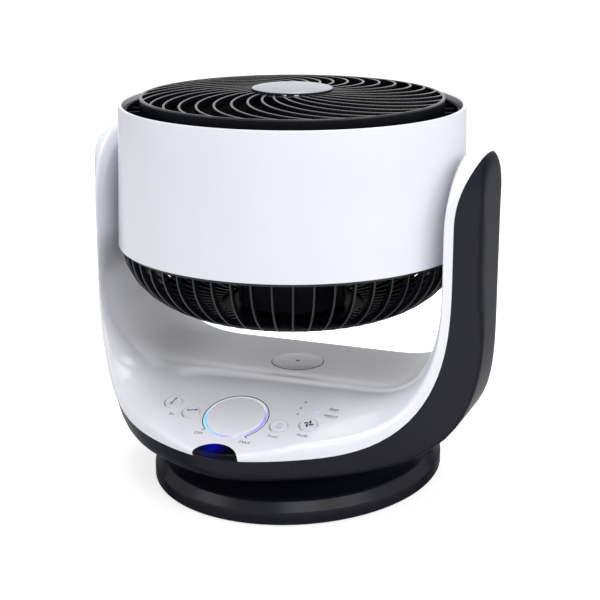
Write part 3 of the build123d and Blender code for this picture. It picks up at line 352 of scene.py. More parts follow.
def lathe(bm, outline, steps, place=None):
    """Spins an outline of (radius, height) in mm about the vertical axis, then moves it by place."""
    before = set(bm.verts)
    verts = [bm.verts.new((r * MM, 0, z * MM)) for r, z in outline]
    edges = [bm.edges.new(pair) for pair in zip(verts, verts[1:] + verts[:1])]
    bmesh.ops.spin(bm, geom=verts + edges, cent=(0, 0, 0), axis=(0, 0, 1), angle=2 * pi, steps=steps,
                   use_merge=True)
    bmesh.ops.remove_doubles(bm, verts=[v for v in bm.verts if v not in before], dist=1e-6)
    if place is not None:
        bmesh.ops.transform(bm, matrix=place, verts=[v for v in bm.verts if v not in before])


def net(bm, rows, closed_rows=False, closed_columns=False):
    """A grid bent through rows of points, all the same length. Closed ways are welded."""
    rows = rows + rows[:1] if closed_rows else rows
    rows = [row + row[:1] if closed_columns else row for row in rows]
    along, across = len(rows) - 1, len(rows[0]) - 1
    made = bmesh.ops.create_grid(bm, x_segments=along, y_segments=across, size=0.5)["verts"]
    for vert in made:
        i, j = round((vert.co.x + 0.5) * along), round((vert.co.y + 0.5) * across)
        vert.co = Vector(rows[i][j]) * MM
    bmesh.ops.remove_doubles(bm, verts=made, dist=2e-6)


def sweep(bm, profile, steps, at):
    """A tube through at(share, across, up), which places the profile's points along the way."""
    net(bm, [[at(i / steps, *point) for point in profile] for i in range(steps + 1)], closed_columns=True)


def rod(bm, radius, low, high, steps, place=None):
    lathe(bm, [(0, high), (radius, high), (radius, low), (0, low)], steps, place)


def block(bm, place, size):
    """A block of that size in mm, moved by place."""
    verts = bmesh.ops.create_cube(bm, size=1.0)["verts"]
    bmesh.ops.transform(bm, matrix=place @ Matrix.Diagonal([s * MM for s in size] + [1]), verts=verts)


def placed(name, data):
    """A new object in the scene."""
    made = bpy.data.objects.new(name, data)
    bpy.context.scene.collection.objects.link(made)
    return made


def coat(made, material):
    made.data.materials.clear()
    made.data.materials.append(material)


def shade(bm, sharp=35.0):
    """Smooth shading, apart from edges sharper than that angle."""
    for face in bm.faces:
        face.smooth = True
    for edge in bm.edges:
        edge.smooth = len(edge.link_faces) != 2 or edge.calc_face_angle(0) < radians(sharp)


def to_object(bm, name, material, sharp=35.0, cap=False):
    """Makes the object. cap closes the open ends of its tubes."""
    if cap:
        bmesh.ops.holes_fill(bm, edges=[e for e in bm.edges if e.is_boundary], sides=0)
    bmesh.ops.recalc_face_normals(bm, faces=bm.faces)
    shade(bm, sharp)
    mesh = bpy.data.meshes.new(name)
    bm.to_mesh(mesh)
    bm.free()
    made = placed(name, mesh)
    coat(made, material)
    return made


def rework(mesh, change):
    """Puts the mesh through change, which takes it as a bmesh."""
    bm = bmesh.new()
    bm.from_mesh(mesh)
    change(bm)
    bm.to_mesh(mesh)
    bm.free()


def face_outwards(made, place, way):
    """Turns an open skin's faces so that the one nearest to place looks along way."""
    def turn(bm):
        bmesh.ops.recalc_face_normals(bm, faces=bm.faces)
        spot = Vector(place) * MM
        near = min(bm.faces, key=lambda f: (f.calc_center_median() - spot).length)
        if near.normal.dot(Vector(way)) < 0:
            bmesh.ops.reverse_faces(bm, faces=bm.faces)

    rework(made.data, turn)


def evaluated_mesh(made):
    bpy.context.view_layer.update()
    return bpy.data.meshes.new_from_object(made.evaluated_get(bpy.context.evaluated_depsgraph_get()))


def bake(made):
    """Applies the object's modifiers to its mesh."""
    mesh = evaluated_mesh(made)
    made.modifiers.clear()
    made.data = mesh


def thicken(made, wall):
    solid = made.modifiers.new("wall", "SOLIDIFY")
    solid.thickness, solid.offset, solid.use_even_offset = wall, -1.0, True
    bake(made)


def cut(made, bm, operation="DIFFERENCE"):
    """Cuts the object with a solid."""
    cutter = to_object(bm, "cutter", made.data.materials[0])
    boolean = made.modifiers.new("cut", "BOOLEAN")
    boolean.object, boolean.operation, boolean.solver = cutter, operation, "EXACT"
    bake(made)
    bpy.data.objects.remove(cutter)
    rework(made.data, shade)


def on_panel(x=0.0, v=0.0, out=0.0):
    """Place at so many mm across, up and out of the panel, turned with it."""
    return shift(*DIAL_AT) @ Matrix.Rotation(PANEL_TILT, 4, "X") @ shift(x, v, out)


def panel_point(x, v, out):
    return on_panel(x, v, out).translation


def piece(made, body, *nodes, slot=None):
    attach(made, body)
    if nodes:
        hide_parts(*nodes)


def grille(node, meshes, names):
    """A grille's two pieces: shiny ribs, and walls that reflect little."""
    for bm, name, material, cap in zip(meshes, names, (black_abs(), black_abs_deep()), (True, False)):
        piece(to_object(bm, name, material, 40, cap), "head", node, slot="dark_gloss")


def dress(material, *nodes):
    """Gives the carried-over CAD nodes their material."""
    for name in nodes:
        coat(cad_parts[name], material)


# ---- the yoke's skins
def super_arc(across, down, power, turn):
    """Distance from the turning line to a superellipse, at that turn from the arm's side."""
    return ((cos(turn) / across) ** power + (sin(turn) / down) ** power) ** (-1 / power)


def panel_z(y):
    return DIAL_AT.z + (y - DIAL_AT.y) * tan(PANEL_TILT)


def lean(z):
    """How far the joint between the shells moves outward towards an arm's top."""
    reach = LEAN_RATE * max(0.0, z - LEAN_FROM) ** 2
    return reach / (1 + (reach / LEAN_MOST) ** 6) ** (1 / 6)


def front_y(x):
    """Plan curve of the joint between the shells, from the middle of the front to an arm."""
    share = min(x, ARM_PART_X) / ARM_PART_X
    return mix((ARM_FRONT_Y, FRONT_Y), (1 - share ** PLAN_POWER) ** PLAN_EASE)


def yoke_section(turn, x, z):
    """Corners of the yoke's section by name, as (y, distance from the turning line, rounding)."""
    fan = sin(turn)                       # 0 on an arm, 1 in the saddle
    middle = sin(2 * turn) ** 2           # 1 half way round the corner between them
    upright = turn > pi / 2 - 1e-6
    inside = super_arc(ARM_IN_X - TURN_X, TURN_Z - SADDLE_Z, INSIDE_POWER, turn)
    outside = super_arc(ARM_OUT_X - TURN_X, TURN_Z - BELLY_Z, BELLY_POWER, turn)
    part = super_arc(ARM_PART_X - TURN_X, TURN_Z - PART_Z, PART_POWER, turn)
    part_y = front_y(x if upright else TURN_X + part * cos(turn))
    leaning = lean(z)
    part += leaning
    back_y = mix(BACK_Y, fan ** 3)
    crest_rise = (panel_z(CREST_Y[1]) - SADDLE_Z) * fan ** 8
    nose_y = part_y - mix(LIP_REACH, fan ** 4)
    nose = TURN_Z - panel_z(nose_y) if upright else part - 0.5 * leaning - mix(LIP_DEPTH, fan ** 6)
    return {"back": (back_y, inside, 4.0),
            "knee": (mix(KNEE_Y, fan ** 5), inside, mix(KNEE_ROUND, fan ** 5)),
            "crest": (mix(CREST_Y, fan ** 2), inside - crest_rise, mix(CREST_ROUND, fan ** 5)),
            "nose": (nose_y, nose, LIP_ROUND),
            "part": (part_y, part, 0),
            "front": (part_y + mix(FRONT_SLOPE, fan ** 2) + CORNER_SLOPE * middle, outside,
                      mix(FRONT_BEND, fan) - CORNER_BEND * middle),
            "rear": (back_y - mix(REAR_SLOPE, fan ** 4), outside, mix(REAR_BEND, fan ** 2)),
            "heel": (back_y, inside + COVER_DEPTH + leaning, 0)}


def yoke_route(end_z, saddle_steps=8, corner_steps=30, arm_steps=6):
    """Stations from the middle of the saddle up an arm to its round end, as (turn, x, z)."""
    route = [(pi / 2, TURN_X * i / saddle_steps, TURN_Z) for i in range(saddle_steps)]
    route += [(radians(90 - 90 * i / corner_steps), TURN_X, TURN_Z) for i in range(corner_steps)]
    return route + [(0.0, TURN_X, mix((TURN_Z, end_z), i / arm_steps)) for i in range(arm_steps + 1)]


def yoke_net(front_corners, back_corners, top_corners, end_z, run_steps, bend_steps=6, end_steps=36):
    """Closed ring of half sections: along the front, over an arm's end, and back behind."""
    def row(corners, turn, x, z):
        path = rounded(corners, bend_steps, run_steps)
        return [(x + r * cos(turn), y, z - r * sin(turn)) for y, r in path]

    route = yoke_route(end_z)
    right = [row(front_corners(yoke_section(*at)), *at) for at in route]
    right += [rounded(top_corners(pi * i / end_steps), bend_steps, run_steps) for i in range(1, end_steps)]
    right += [row(back_corners(yoke_section(*at)), *at) for at in reversed(route)]
    left = [[(-x, y, z) for x, y, z in points] for points in right[-2:0:-1]]
    bm = bmesh.new()
    net(bm, right + left, closed_rows=True)
    return bm


def joint_at(angle):
    """Point of the joint between the shells on the right arm's end, as (x, y, z)."""
    up, along = (abs(f(angle)) ** END_FULLNESS for f in (sin, cos))
    z = SHELL_END[1] + END_RISE * up
    return ARM_PART_X + lean(z), SHELL_END[0] - SHELL_END[2] * copysign(along, cos(angle)), z


def cover_net():
    """White skin that an arm's inner face, its lip, the saddle and the panel share."""
    end_y, end_z, end_r = COVER_END

    def front(c):
        return [(end_y, c["back"][1], 0), c["knee"], c["crest"], c["nose"], c["part"]]

    def back(c):
        back_y, inside, _ = c["back"]
        return [(end_y, inside, 0), (mix((end_y, back_y), 0.55), inside, 7.0), (back_y - 9.0, inside, 2.5),
                c["back"], c["heel"]]

    def top(angle):
        def rim(x, reach, rounding):
            return x, end_y - reach * cos(angle), end_z + reach * sin(angle), rounding

        x, y, z = joint_at(angle)
        behind = (1 - cos(angle)) / 2
        nose_x = x - LIP_DEPTH[0] - 0.5 * lean(z) - 1.3 * behind
        return [rim(ARM_IN_X, 0, 0), rim(ARM_IN_X, 32.0, 7.0), rim(ARM_IN_X, 47.0 + 2.0 * behind, 2.5),
                rim(nose_x, end_r, LIP_ROUND - 2.0 * behind), (x, y, z, 0)]

    return yoke_net(front, back, top, end_z, 3)


def shell_net():
    """Dark skin of the arms' outer faces and the belly, up to the joint with the cover."""
    end_y, end_z, end_r = SHELL_END

    def gap(corner):
        return corner[0], corner[1] + SEAM, corner[2]

    def front(c):
        return [(end_y, c["front"][1], 0), c["front"], gap(c["part"])]

    def back(c):
        return [(end_y, c["rear"][1], 0), c["rear"], gap(c["heel"])]

    def top(angle):
        x, y, z = joint_at(angle)
        behind = (1 - cos(angle)) / 2
        slope = FRONT_SLOPE[0] * (1 - behind) ** 2.4 + REAR_SLOPE[0] * behind ** 10
        share = 1 - slope / end_r
        return [(ARM_OUT_X, end_y, end_z, 0),
                (ARM_OUT_X, mix((end_y, y), share), mix((end_z, z), share),
                 mix((FRONT_BEND[0], REAR_BEND[0]), behind ** 0.5)),
                (x + SEAM, y, z, 0)]

    return yoke_net(front, back, top, end_z, 8)


# ---- operators
class FAN_OT_drum(bpy.types.Operator):
    """White drum shell with its rounded rim and the ledge inside it"""
    bl_idname = "airfan.drum"
    bl_label = "Drum shell"

    WALL, TAPER = 2.8, 3.0
    LEDGE_TOP, LEDGE_FOOT, LEDGE_REACH = 18.0, 22.0, 9.6     # below the rim, and inward

    def execute(self, context):
        front, inner = DRUM_R - self.TAPER, DRUM_R - self.TAPER - self.WALL
        ledge_r, high, low = inner - self.LEDGE_REACH, DRUM_HIGH - self.LEDGE_TOP, DRUM_HIGH - self.LEDGE_FOOT
        outline = [(DRUM_R, DRUM_LOW, 0.6), (front, DRUM_HIGH, 1.1), (inner - 0.1, DRUM_HIGH - 0.6, 1.0),
                   (inner + 0.3, high, 0), (ledge_r, high, 0.4), (ledge_r, low, 0.4), (inner + 0.4, low, 0),
                   (DRUM_R - self.WALL, DRUM_LOW, 0.4)]
        bm = bmesh.new()
        lathe(bm, rounded(outline, 4, 2, closed=True), 240)
        piece(to_object(bm, "drum_skin", white_abs()), "head", "drum_shell", slot="white_gloss")
        return {"FINISHED"}


class FAN_OT_front_grille(bpy.types.Operator):
    """Front ring and its curved, crowned ribs round the hub"""
    bl_idname = "airfan.front_grille"
    bl_label = "Front grille"

    RING_R, RING_TOP, RING_FOOT, CROWN = 120.3, 315.0, 294.0, 5.0
    ARC_R, ARC_AT, PHASE = 65.5, 63.5, 9.3    # a rib's arc, its centre's radius, first rib's bearing
    HUB_R, RIB_H, RIB_STEPS = 34.0, 7.0, 28
    LINER_DROP, LEDGE_H = 4.5, 3.0
    CLIPS, CLIP_R, CLIP_SIZE = 36, 125.0, (10.4, 3.0, 7.5)

    def crown(self, r):
        return self.RING_TOP + self.CROWN * (1 - (r / self.RING_R) ** 2) - 0.3

    def rib(self, bm, turn, width):
        """One rib: its cross-section carried along an arc from the hub to the ring."""
        def bearing(r):
            reach = self.ARC_R ** 2 + self.ARC_AT ** 2
            return -acos((r * r - reach) / (2 * self.ARC_R * self.ARC_AT))

        def at(share, across, up):
            angle = mix(ends, share)
            x = self.ARC_AT + (self.ARC_R + across) * cos(angle)
            y = (self.ARC_R + across) * sin(angle)
            return turned(x, y, self.crown(min(hypot(x, y), self.RING_R)) + up, turn)

        ends = bearing(self.HUB_R - 2.0), bearing(self.RING_R - 1.2)
        half, low = width / 2 / MM, -self.RIB_H
        profile = [(-half * 0.8, low, 0.2), (half * 0.8, low, 0.2), (half, 0, 0.35), (-half, 0, 0.35)]
        sweep(bm, rounded(profile, 3, closed=True), self.RIB_STEPS, at)

    def execute(self, context):
        ring, top, hub_r = self.RING_R, self.RING_TOP, self.HUB_R
        hub = top + self.CROWN - 1.6
        bm = bmesh.new()
        lathe(bm, rounded([(ring, top - 1.6, 0), (ring, top, 0.9), (ring - 2.6, top - 0.2, 0.8),
                           (ring - 2.5, top - 1.6, 0)], 4, 2, closed=True), 240)
        lathe(bm, rounded([(0, hub - 5.0, 0), (hub_r - 1.5, hub - 10.0, 0.3), (hub_r, hub - 9.0, 0.5),
                           (hub_r, hub, 0.8), (hub_r - 1.0, hub, 0.3), (0, hub - 0.6, 0)],
                          4, 1, closed=True), 120)
        sizes = fan_sizes()
        for i in range(sizes.rib_count):
            self.rib(bm, radians(self.PHASE + 360 * i / sizes.rib_count), sizes.rib_width)
        grille("front_grille", (bm, self.walls()), ("front_grille_ribs", "front_ring_walls"))
        return {"FINISHED"}

    def walls(self):
        """Ring's upright wall, the sunk ledge round it with its clips, and the liner inside the drum."""
        ring, foot, top = self.RING_R, self.RING_FOOT, self.RING_TOP - 1.5
        rim, ledge = DRUM_HIGH - self.LINER_DROP, foot + self.LEDGE_H
        bm = bmesh.new()
        lathe(bm, rounded([(ring - 0.05, foot, 0), (ring - 0.05, top, 0), (ring - 2.4, top, 0),
                           (ring - 2.4, foot, 0)], 1, 3, closed=True), 240)
        lathe(bm, rounded([(133.3, foot, 0), (133.0, rim, 0.5), (130.4, rim, 0.5), (129.6, ledge, 1.0),
                           (ring - 0.2, ledge, 0), (ring - 0.2, foot, 0)], 3, 1, closed=True), 180)
        for i in range(self.CLIPS):
            turn = Matrix.Rotation(2 * pi * (i + 0.5) / self.CLIPS, 4, "Z")
            block(bm, turn @ shift(self.CLIP_R, 0, foot + 5.2), self.CLIP_SIZE)
        clip_edges = [e for e in bm.edges if len(e.link_faces) == 2 and e.calc_length() > 2.9 * MM
                      and e.calc_face_angle(0) > 1.5 and max(v.co.z for v in e.verts) > (foot + 8.0) * MM
                      and hypot(e.verts[0].co.x, e.verts[0].co.y) < 130.5 * MM]
        bmesh.ops.bevel(bm, geom=clip_edges, offset=0.4 * MM, segments=2, affect="EDGES")
        return bm


class FAN_OT_hub_cap(bpy.types.Operator):
    """Silver hub cap over a dark skirt, with two white marks on the skirt that are painted glints"""
    bl_idname = "airfan.hub_cap"
    bl_label = "Hub cap"

    RADIUS, CROWN_DROP, EDGE_DROP, SKIRT_DROP = 31.8, 1.0, 3.9, 6.8
    DOME, DOME_POWER, DOME_STEPS = 2.2, 2.4, 12
    SLOTS, SLOT_SIZE = (-79.8, -62.8), (0.4, 3.4, 0.9)       # bearings and size of two white blocks: painted glints on the skirt, where the ribs meet the hub

    def execute(self, context):
        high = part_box("hub_cap")[1].z / MM
        edge_z, skirt_z, radius = high - self.EDGE_DROP, high - self.SKIRT_DROP, self.RADIUS
        shares = [i / self.DOME_STEPS for i in range(self.DOME_STEPS)]
        crown = [(radius * share, high - self.CROWN_DROP - self.DOME * share ** self.DOME_POWER)
                 for share in shares]
        edge = [crown[-1] + (0,), (radius, edge_z + 0.5, 0.9), (radius, edge_z, 0.2), (0, edge_z, 0)]
        cap, skirt, glint_blocks = bmesh.new(), bmesh.new(), bmesh.new()
        lathe(cap, crown[:-1] + rounded(edge, 4), 120)
        piece(to_object(cap, "hub_cap_silver", silver_lacquer(), 50), "head", "hub_cap", slot="silver")
        lathe(skirt, rounded([(0, edge_z, 0), (radius - 0.3, edge_z, 0), (radius + 0.1, skirt_z, 0.3),
                              (0, skirt_z, 0)], 3, 2), 120)
        piece(to_object(skirt, "hub_skirt", black_abs_deep(), 40), "head", "hub_cap", slot="dark_gloss")
        # White blocks on the black skirt: painted glints, standing in for light caught where the ribs meet
        # the hub
        for angle in self.SLOTS:
            at = shift(radius - 0.1, 0, (edge_z + skirt_z) / 2)
            block(glint_blocks, Matrix.Rotation(radians(angle), 4, "Z") @ at, self.SLOT_SIZE)
        piece(to_object(glint_blocks, "hub_skirt_painted_glints", white_abs()), "head", "hub_cap", slot="white_gloss")
        return {"FINISHED"}


class FAN_OT_rear_grille(bpy.types.Operator):
    """Rear bowl under the drum: radial ribs from a rim to a dished pan"""
    bl_idname = "airfan.rear_grille"
    bl_label = "Rear bowl"

    FLAT_R, LOW_Z, RIM_R = 58.0, 142.0, 137.0
    RIB_WIDTH, RIB_DEPTH, RIB_STEPS, PHASE = 1.7, 5.0, 18, 3.4
    PAN_SHARE, PAN_IN, PAN_WALL, PAN_STEPS = 0.45, 0.25, 2.0, 10

    def curve(self, share, inward):
        """(radius, height) on the bowl's quarter ellipse, set in by inward."""
        angle = pi / 2 * share
        return (self.FLAT_R + (self.RIM_R - self.FLAT_R - inward) * sin(angle),
                DRUM_LOW - (DRUM_LOW - self.LOW_Z - inward) * cos(angle))

    def rib(self, bm, turn):
        def at(share, across, inward):
            r, z = self.curve(share, inward)
            return turned(r, across, z, turn)

        half, depth = self.RIB_WIDTH / 2, self.RIB_DEPTH
        profile = [(-half, 0, 0.5), (half, 0, 0.5), (half * 0.8, depth, 0.2), (-half * 0.8, depth, 0.2)]
        sweep(bm, rounded(profile, 2, closed=True), self.RIB_STEPS, at)

    def execute(self, context):
        rim, z = self.RIM_R, DRUM_LOW
        ribs, pan = bmesh.new(), bmesh.new()
        lathe(ribs, rounded([(rim, z - 2.6, 0.5), (rim - 0.1, z + 9, 0), (rim - 3.4, z + 9, 0),
                             (rim - 4.8, z, 0), (rim - 4.8, z - 2.6, 0.5)], 3, 1, closed=True), 200)
        count = fan_sizes().bowl_rib_count
        for i in range(count):
            self.rib(ribs, radians(self.PHASE) + 2 * pi * i / count)
        shares = [self.PAN_SHARE * i / self.PAN_STEPS for i in range(self.PAN_STEPS + 1)]
        outer = [self.curve(share, self.PAN_IN) for share in shares]
        inner = [self.curve(share, self.PAN_IN + self.PAN_WALL) for share in reversed(shares)]
        lathe(pan, [(0, outer[0][1])] + outer + inner + [(0, inner[-1][1])], 150)
        grille("rear_grille", (ribs, pan), ("rear_bowl_ribs", "rear_bowl_pan"))
        return {"FINISHED"}


class FAN_OT_cover(bpy.types.Operator):
    """White inner cover: arms, saddle and control panel in one sweep, with its holes and window"""
    bl_idname = "airfan.cover"
    bl_label = "Inner cover"

    DIAL_HOLE, PIVOT_HOLE, DISC_GAP = 24.5, 16.5, 0.7
    WINDOW_R, WINDOW_V = 20.3, -52.5          # the window is where this disc meets the panel's edge

    def execute(self, context):
        sizes = fan_sizes()
        made = to_object(cover_net(), "inner_cover_skin", white_abs(), 50)
        face_outwards(made, (0, 20, SADDLE_Z), (0, 0, 1))
        thicken(made, sizes.shell_wall)
        button_hole = BUTTON_R + sizes.seam_gap / MM
        bm = bmesh.new()
        for x, v, radius in [(0, 0, self.DIAL_HOLE)] + [(x, v, button_hole) for x, v in BUTTONS.values()]:
            rod(bm, radius, -9, 8, 64, on_panel(x, v))
        for side in (-1, 1):
            rod(bm, self.PIVOT_HOLE, -5, 5, 64,
                shift(side * 144, 0, TILT_Z) @ Matrix.Rotation(pi / 2, 4, "Y"))
        rod(bm, DISC_R + self.DISC_GAP, -0.8, 20, 96, shift(*DISC_AT))
        cut(made, bm)
        window = placed("display_window_skin", made.data.copy())
        for target, operation in ((window, "INTERSECT"), (made, "DIFFERENCE")):
            bm = bmesh.new()
            rod(bm, self.WINDOW_R, -30, 30, 96, on_panel(0, self.WINDOW_V))
            cut(target, bm, operation)
        coat(window, display_acrylic())
        piece(made, "yoke", "inner_cover", slot="white_gloss")
        piece(window, "yoke", "display_window", slot="window_navy")
        return {"FINISHED"}


class FAN_OT_outer_shell(bpy.types.Operator):
    """Charcoal outer shell of the yoke, with the hole that the spindle passes through"""
    bl_idname = "airfan.outer_shell"
    bl_label = "Outer shell"

    SPINDLE_HOLE = 22.0

    def execute(self, context):
        made = to_object(shell_net(), "outer_shell_skin", charcoal_abs(), 50)
        face_outwards(made, (0, 20, BELLY_Z), (0, 0, -1))
        thicken(made, fan_sizes().shell_wall)
        bm = bmesh.new()
        rod(bm, self.SPINDLE_HOLE, 30, 60, 64)
        cut(made, bm)
        piece(made, "yoke", "outer_shell", slot="dark_gloss")
        return {"FINISHED"}


class FAN_OT_controls(bpy.types.Operator):
    """Dial, light ring, buttons and the disc in the saddle"""
    bl_idname = "airfan.controls"
    bl_label = "Controls"

    STEM_END = -12.4
    GLOW_IN, GLOW_OUT = 22.9, 24.4

    def knob(self, name, body, outline, foot, steps, stem_r, stem_steps, place):
        """A cap that is pressed or turned, on its stem."""
        bm = bmesh.new()
        lathe(bm, outline, steps, place)
        rod(bm, stem_r, self.STEM_END, foot, stem_steps, place)
        piece(to_object(bm, name, white_abs()), body, body, slot="white_gloss")

    def execute(self, context):
        foot, radius = -3.8, DIAL_R
        outline = [(0, 1.0, 0), (radius, 1.2, 1.0), (radius, foot, 0.2), (0, foot, 0)]
        self.knob("dial_cap", "dial", rounded(outline, 5, 2), foot, 128, 3, 32, on_panel())
        bm = bmesh.new()
        lathe(bm, rounded([(self.GLOW_OUT, 0.3, 0.2), (self.GLOW_IN, 0.3, 0.2), (self.GLOW_IN, -10, 0),
                           (self.GLOW_OUT, -10, 0)], 2, 1, closed=True), 128, on_panel())
        piece(to_object(bm, "light_ring_glow", light_guide()), "yoke", "light_ring", slot="diffuser")
        foot, radius = -2.6, BUTTON_R
        outline = [(0, 0.2, 0), (4.2, 0.3, 2.0), (radius, 0.6, 0.5), (radius, foot, 0.2), (0, foot, 0)]
        for name, (x, v) in BUTTONS.items():
            self.knob(name + "_cap", name, rounded(outline, 4), foot, 64, 2, 24, on_panel(x, v))
        disc, seam = bmesh.new(), bmesh.new()
        lathe(disc, rounded([(0, 0.9, 0), (DISC_R, 0.7, 0.4), (DISC_R, -0.8, 0), (0, -0.8, 0)], 3, 1), 96,
              shift(*DISC_AT))
        piece(to_object(disc, "saddle_disc_cap", white_abs()), "yoke", "saddle_disc", slot="white_gloss")
        for low, high, r_in, r_out in ((-0.8, 0.1, DISC_R + 0.1, DISC_R + 0.65), (0.8, 0.95, 0.0, 1.7)):
            lathe(seam, [(r_in, low), (r_out, low), (r_out, high), (r_in, high)], 96, shift(*DISC_AT))
        piece(to_object(seam, "saddle_disc_seam", black_satin()), "yoke", slot="dark_gloss")
        return {"FINISHED"}


class FAN_OT_pivots(bpy.types.Operator):
    """White necks between the drum and the arms, flared where they meet the drum"""
    bl_idname = "airfan.pivots"
    bl_label = "Pivot necks"

    NECK_R, INNER_END, OUTER_END = 15.8, 124.0, 141.6

    def execute(self, context):
        neck, low, high = self.NECK_R, self.INNER_END, self.OUTER_END
        outline = [(0, low, 0), (neck + 4.5, low, 0), (neck + 3.5, 134.5, 1.5), (neck, 137.8, 2.0),
                   (neck, high, 0.4), (0, high, 0)]
        for name, side in (("pivot_boss_left", -1), ("pivot_boss_right", 1)):
            bm = bmesh.new()
            lathe(bm, rounded(outline, 5), 96, shift(0, 0, TILT_Z) @ Matrix.Rotation(side * pi / 2, 4, "Y"))
            piece(to_object(bm, name + "_skin", white_abs()), "head", name, slot="white_gloss")
        return {"FINISHED"}


class FAN_OT_markings(bpy.types.Operator):
    """Printed arc, icons and function words on the panel"""
    bl_idname = "airfan.markings"
    bl_label = "Panel markings"

    LIFT, INK = 0.06, 0.02                    # height of the lines, and of a letter's ink, over the panel
    ARC_R, ARC_ENDS, ARC_LINE, HOOK = 25.6, (-53, 225), 0.7, 2.6
    LABELS = (("OFF", -21.1, -23.6, 4.0), ("MAX", 17.9, -26.9, 4.2), ("Timer", 36.2, -16.0, 3.6),
              ("Mode", 57.7, -10.5, 3.6), ("Sleep", 71.7, 23.6, 3.6), ("Natural", 71.6, 15.7, 3.6),
              ("3D", -51.3, -6.3, 3.4))
    SWITCH_WORDS = (("ON", 1.9), ("OFF", -1.9))
    OUTLINE_R, OUTLINES = 7.5, (("print_button_rings", 0.3, 250, 530), ("print_button_arcs", 0.45, 172, 246))
    ARROWS = (("button_tilt", -55.8, 8.6, 78), ("button_swivel", -36.7, 0.9, 14))
    ARROW_HALF, ARROW_LINE, HEAD_R, HEAD_AT = 2.8, 0.65, 1.35, 3.3
    BLADES_AT, BLADE_REACHES, BLADE_LINE = (58.2, 3.0), (0.9, 1.9, 2.9, 3.5), 1.5

    def words(self, text, x, v, height, body, material, out=0.0):
        curve = bpy.data.curves.new("words", "FONT")
        curve.body, curve.size, curve.extrude = text, height * MM, self.INK * MM
        curve.align_x, curve.align_y = "CENTER", "CENTER"
        holder = placed("words", curve)
        mesh = evaluated_mesh(holder)
        bpy.data.objects.remove(holder)
        mesh.transform(on_panel(x, v, self.LIFT + out))
        rework(mesh, lambda bm: bmesh.ops.remove_doubles(bm, verts=bm.verts, dist=1e-6))
        name = "print_" + "".join(c for c in text.lower() if c.isalpha()) + f"_{abs(int(x))}"
        made = placed(name, mesh)
        coat(made, material)
        piece(made, body)

    def stroke(self, bm, points, width, out=0.0):
        """A raised line of ink through points on the panel."""
        rows = []
        for i, here in enumerate(points):
            before, after = Vector(points[max(i - 1, 0)]), Vector(points[min(i + 1, len(points) - 1)])
            side = (after - before).normalized().orthogonal() * width / 2
            rows.append([tuple(panel_point(*(Vector(here) + side * way), out + up) / MM)
                         for way, up in ((-1, 0), (-1, self.LIFT), (1, self.LIFT), (1, 0))])
        net(bm, rows, closed_columns=True)

    def ring(self, bm, x, v, radius, width, first, last):
        steps = max(8, int(abs(last - first) / 6))
        turns = [mix((first, last), i / steps) for i in range(steps + 1)]
        self.stroke(bm, [tuple(Vector((x, v)) + radius * heading(t)) for t in turns], width)

    def dial_arc(self, ink):
        """Arc round the dial with a short hook at each end."""
        bm = bmesh.new()
        self.ring(bm, 0, 0, self.ARC_R, self.ARC_LINE, *self.ARC_ENDS)
        for turn, sideways in zip(self.ARC_ENDS, (1.0, 0.0)):
            end = heading(turn)
            tip = end * (self.ARC_R + self.HOOK) + Vector((-end.y, end.x)) * sideways
            self.stroke(bm, [tuple(end * self.ARC_R), tuple(tip)], self.ARC_LINE)
        piece(to_object(bm, "print_dial_arc", ink, cap=True), "yoke")

    def arrow(self, name, x, v, angle, ink):
        """Two-headed arrow on a button's top."""
        bm = bmesh.new()
        middle, way = Vector((x, v)), heading(angle)
        ends = [tuple(middle + way * reach) for reach in (-self.ARROW_HALF, self.ARROW_HALF)]
        self.stroke(bm, ends, self.ARROW_LINE, BUTTON_TOP)
        for turn in (angle, angle + 180):
            radius = self.HEAD_R * MM
            head = bmesh.ops.create_cone(bm, cap_ends=True, segments=3, radius1=radius, radius2=radius,
                                         depth=self.LIFT * MM)["verts"]
            tip = middle + heading(turn) * self.HEAD_AT
            place = on_panel(tip.x, tip.y, BUTTON_TOP + self.LIFT / 2)
            bmesh.ops.transform(bm, matrix=place @ Matrix.Rotation(radians(turn - 90), 4, "Z"), verts=head)
        piece(to_object(bm, name + "_icon", ink, cap=True), name)

    def execute(self, context):
        ink, pale = printing_ink(), faint_ink()
        self.dial_arc(ink)
        for text, x, v, height in self.LABELS:
            self.words(text, x, v, height, "yoke", ink)
        x, v = BUTTONS["button_timer"]
        for text, above in self.SWITCH_WORDS:
            self.words(text, x, v + above, 3.0, "button_timer", pale, BUTTON_TOP)
        for (name, width, first, last), material in zip(self.OUTLINES, (pale, ink)):
            bm = bmesh.new()
            for x, v in BUTTONS.values():
                self.ring(bm, x, v, self.OUTLINE_R, width, first, last)
            piece(to_object(bm, name, material, cap=True), "yoke")
        for arrow in self.ARROWS:
            self.arrow(*arrow, ink)
        bm = bmesh.new()
        for first in (45, 135, 225, 315):
            points = [tuple(Vector(self.BLADES_AT) + reach * heading(first + 16 * k))
                      for k, reach in enumerate(self.BLADE_REACHES)]
            self.stroke(bm, points, self.BLADE_LINE, BUTTON_TOP)
        piece(to_object(bm, "button_mode_icon", ink, cap=True), "button_mode")
        return {"FINISHED"}


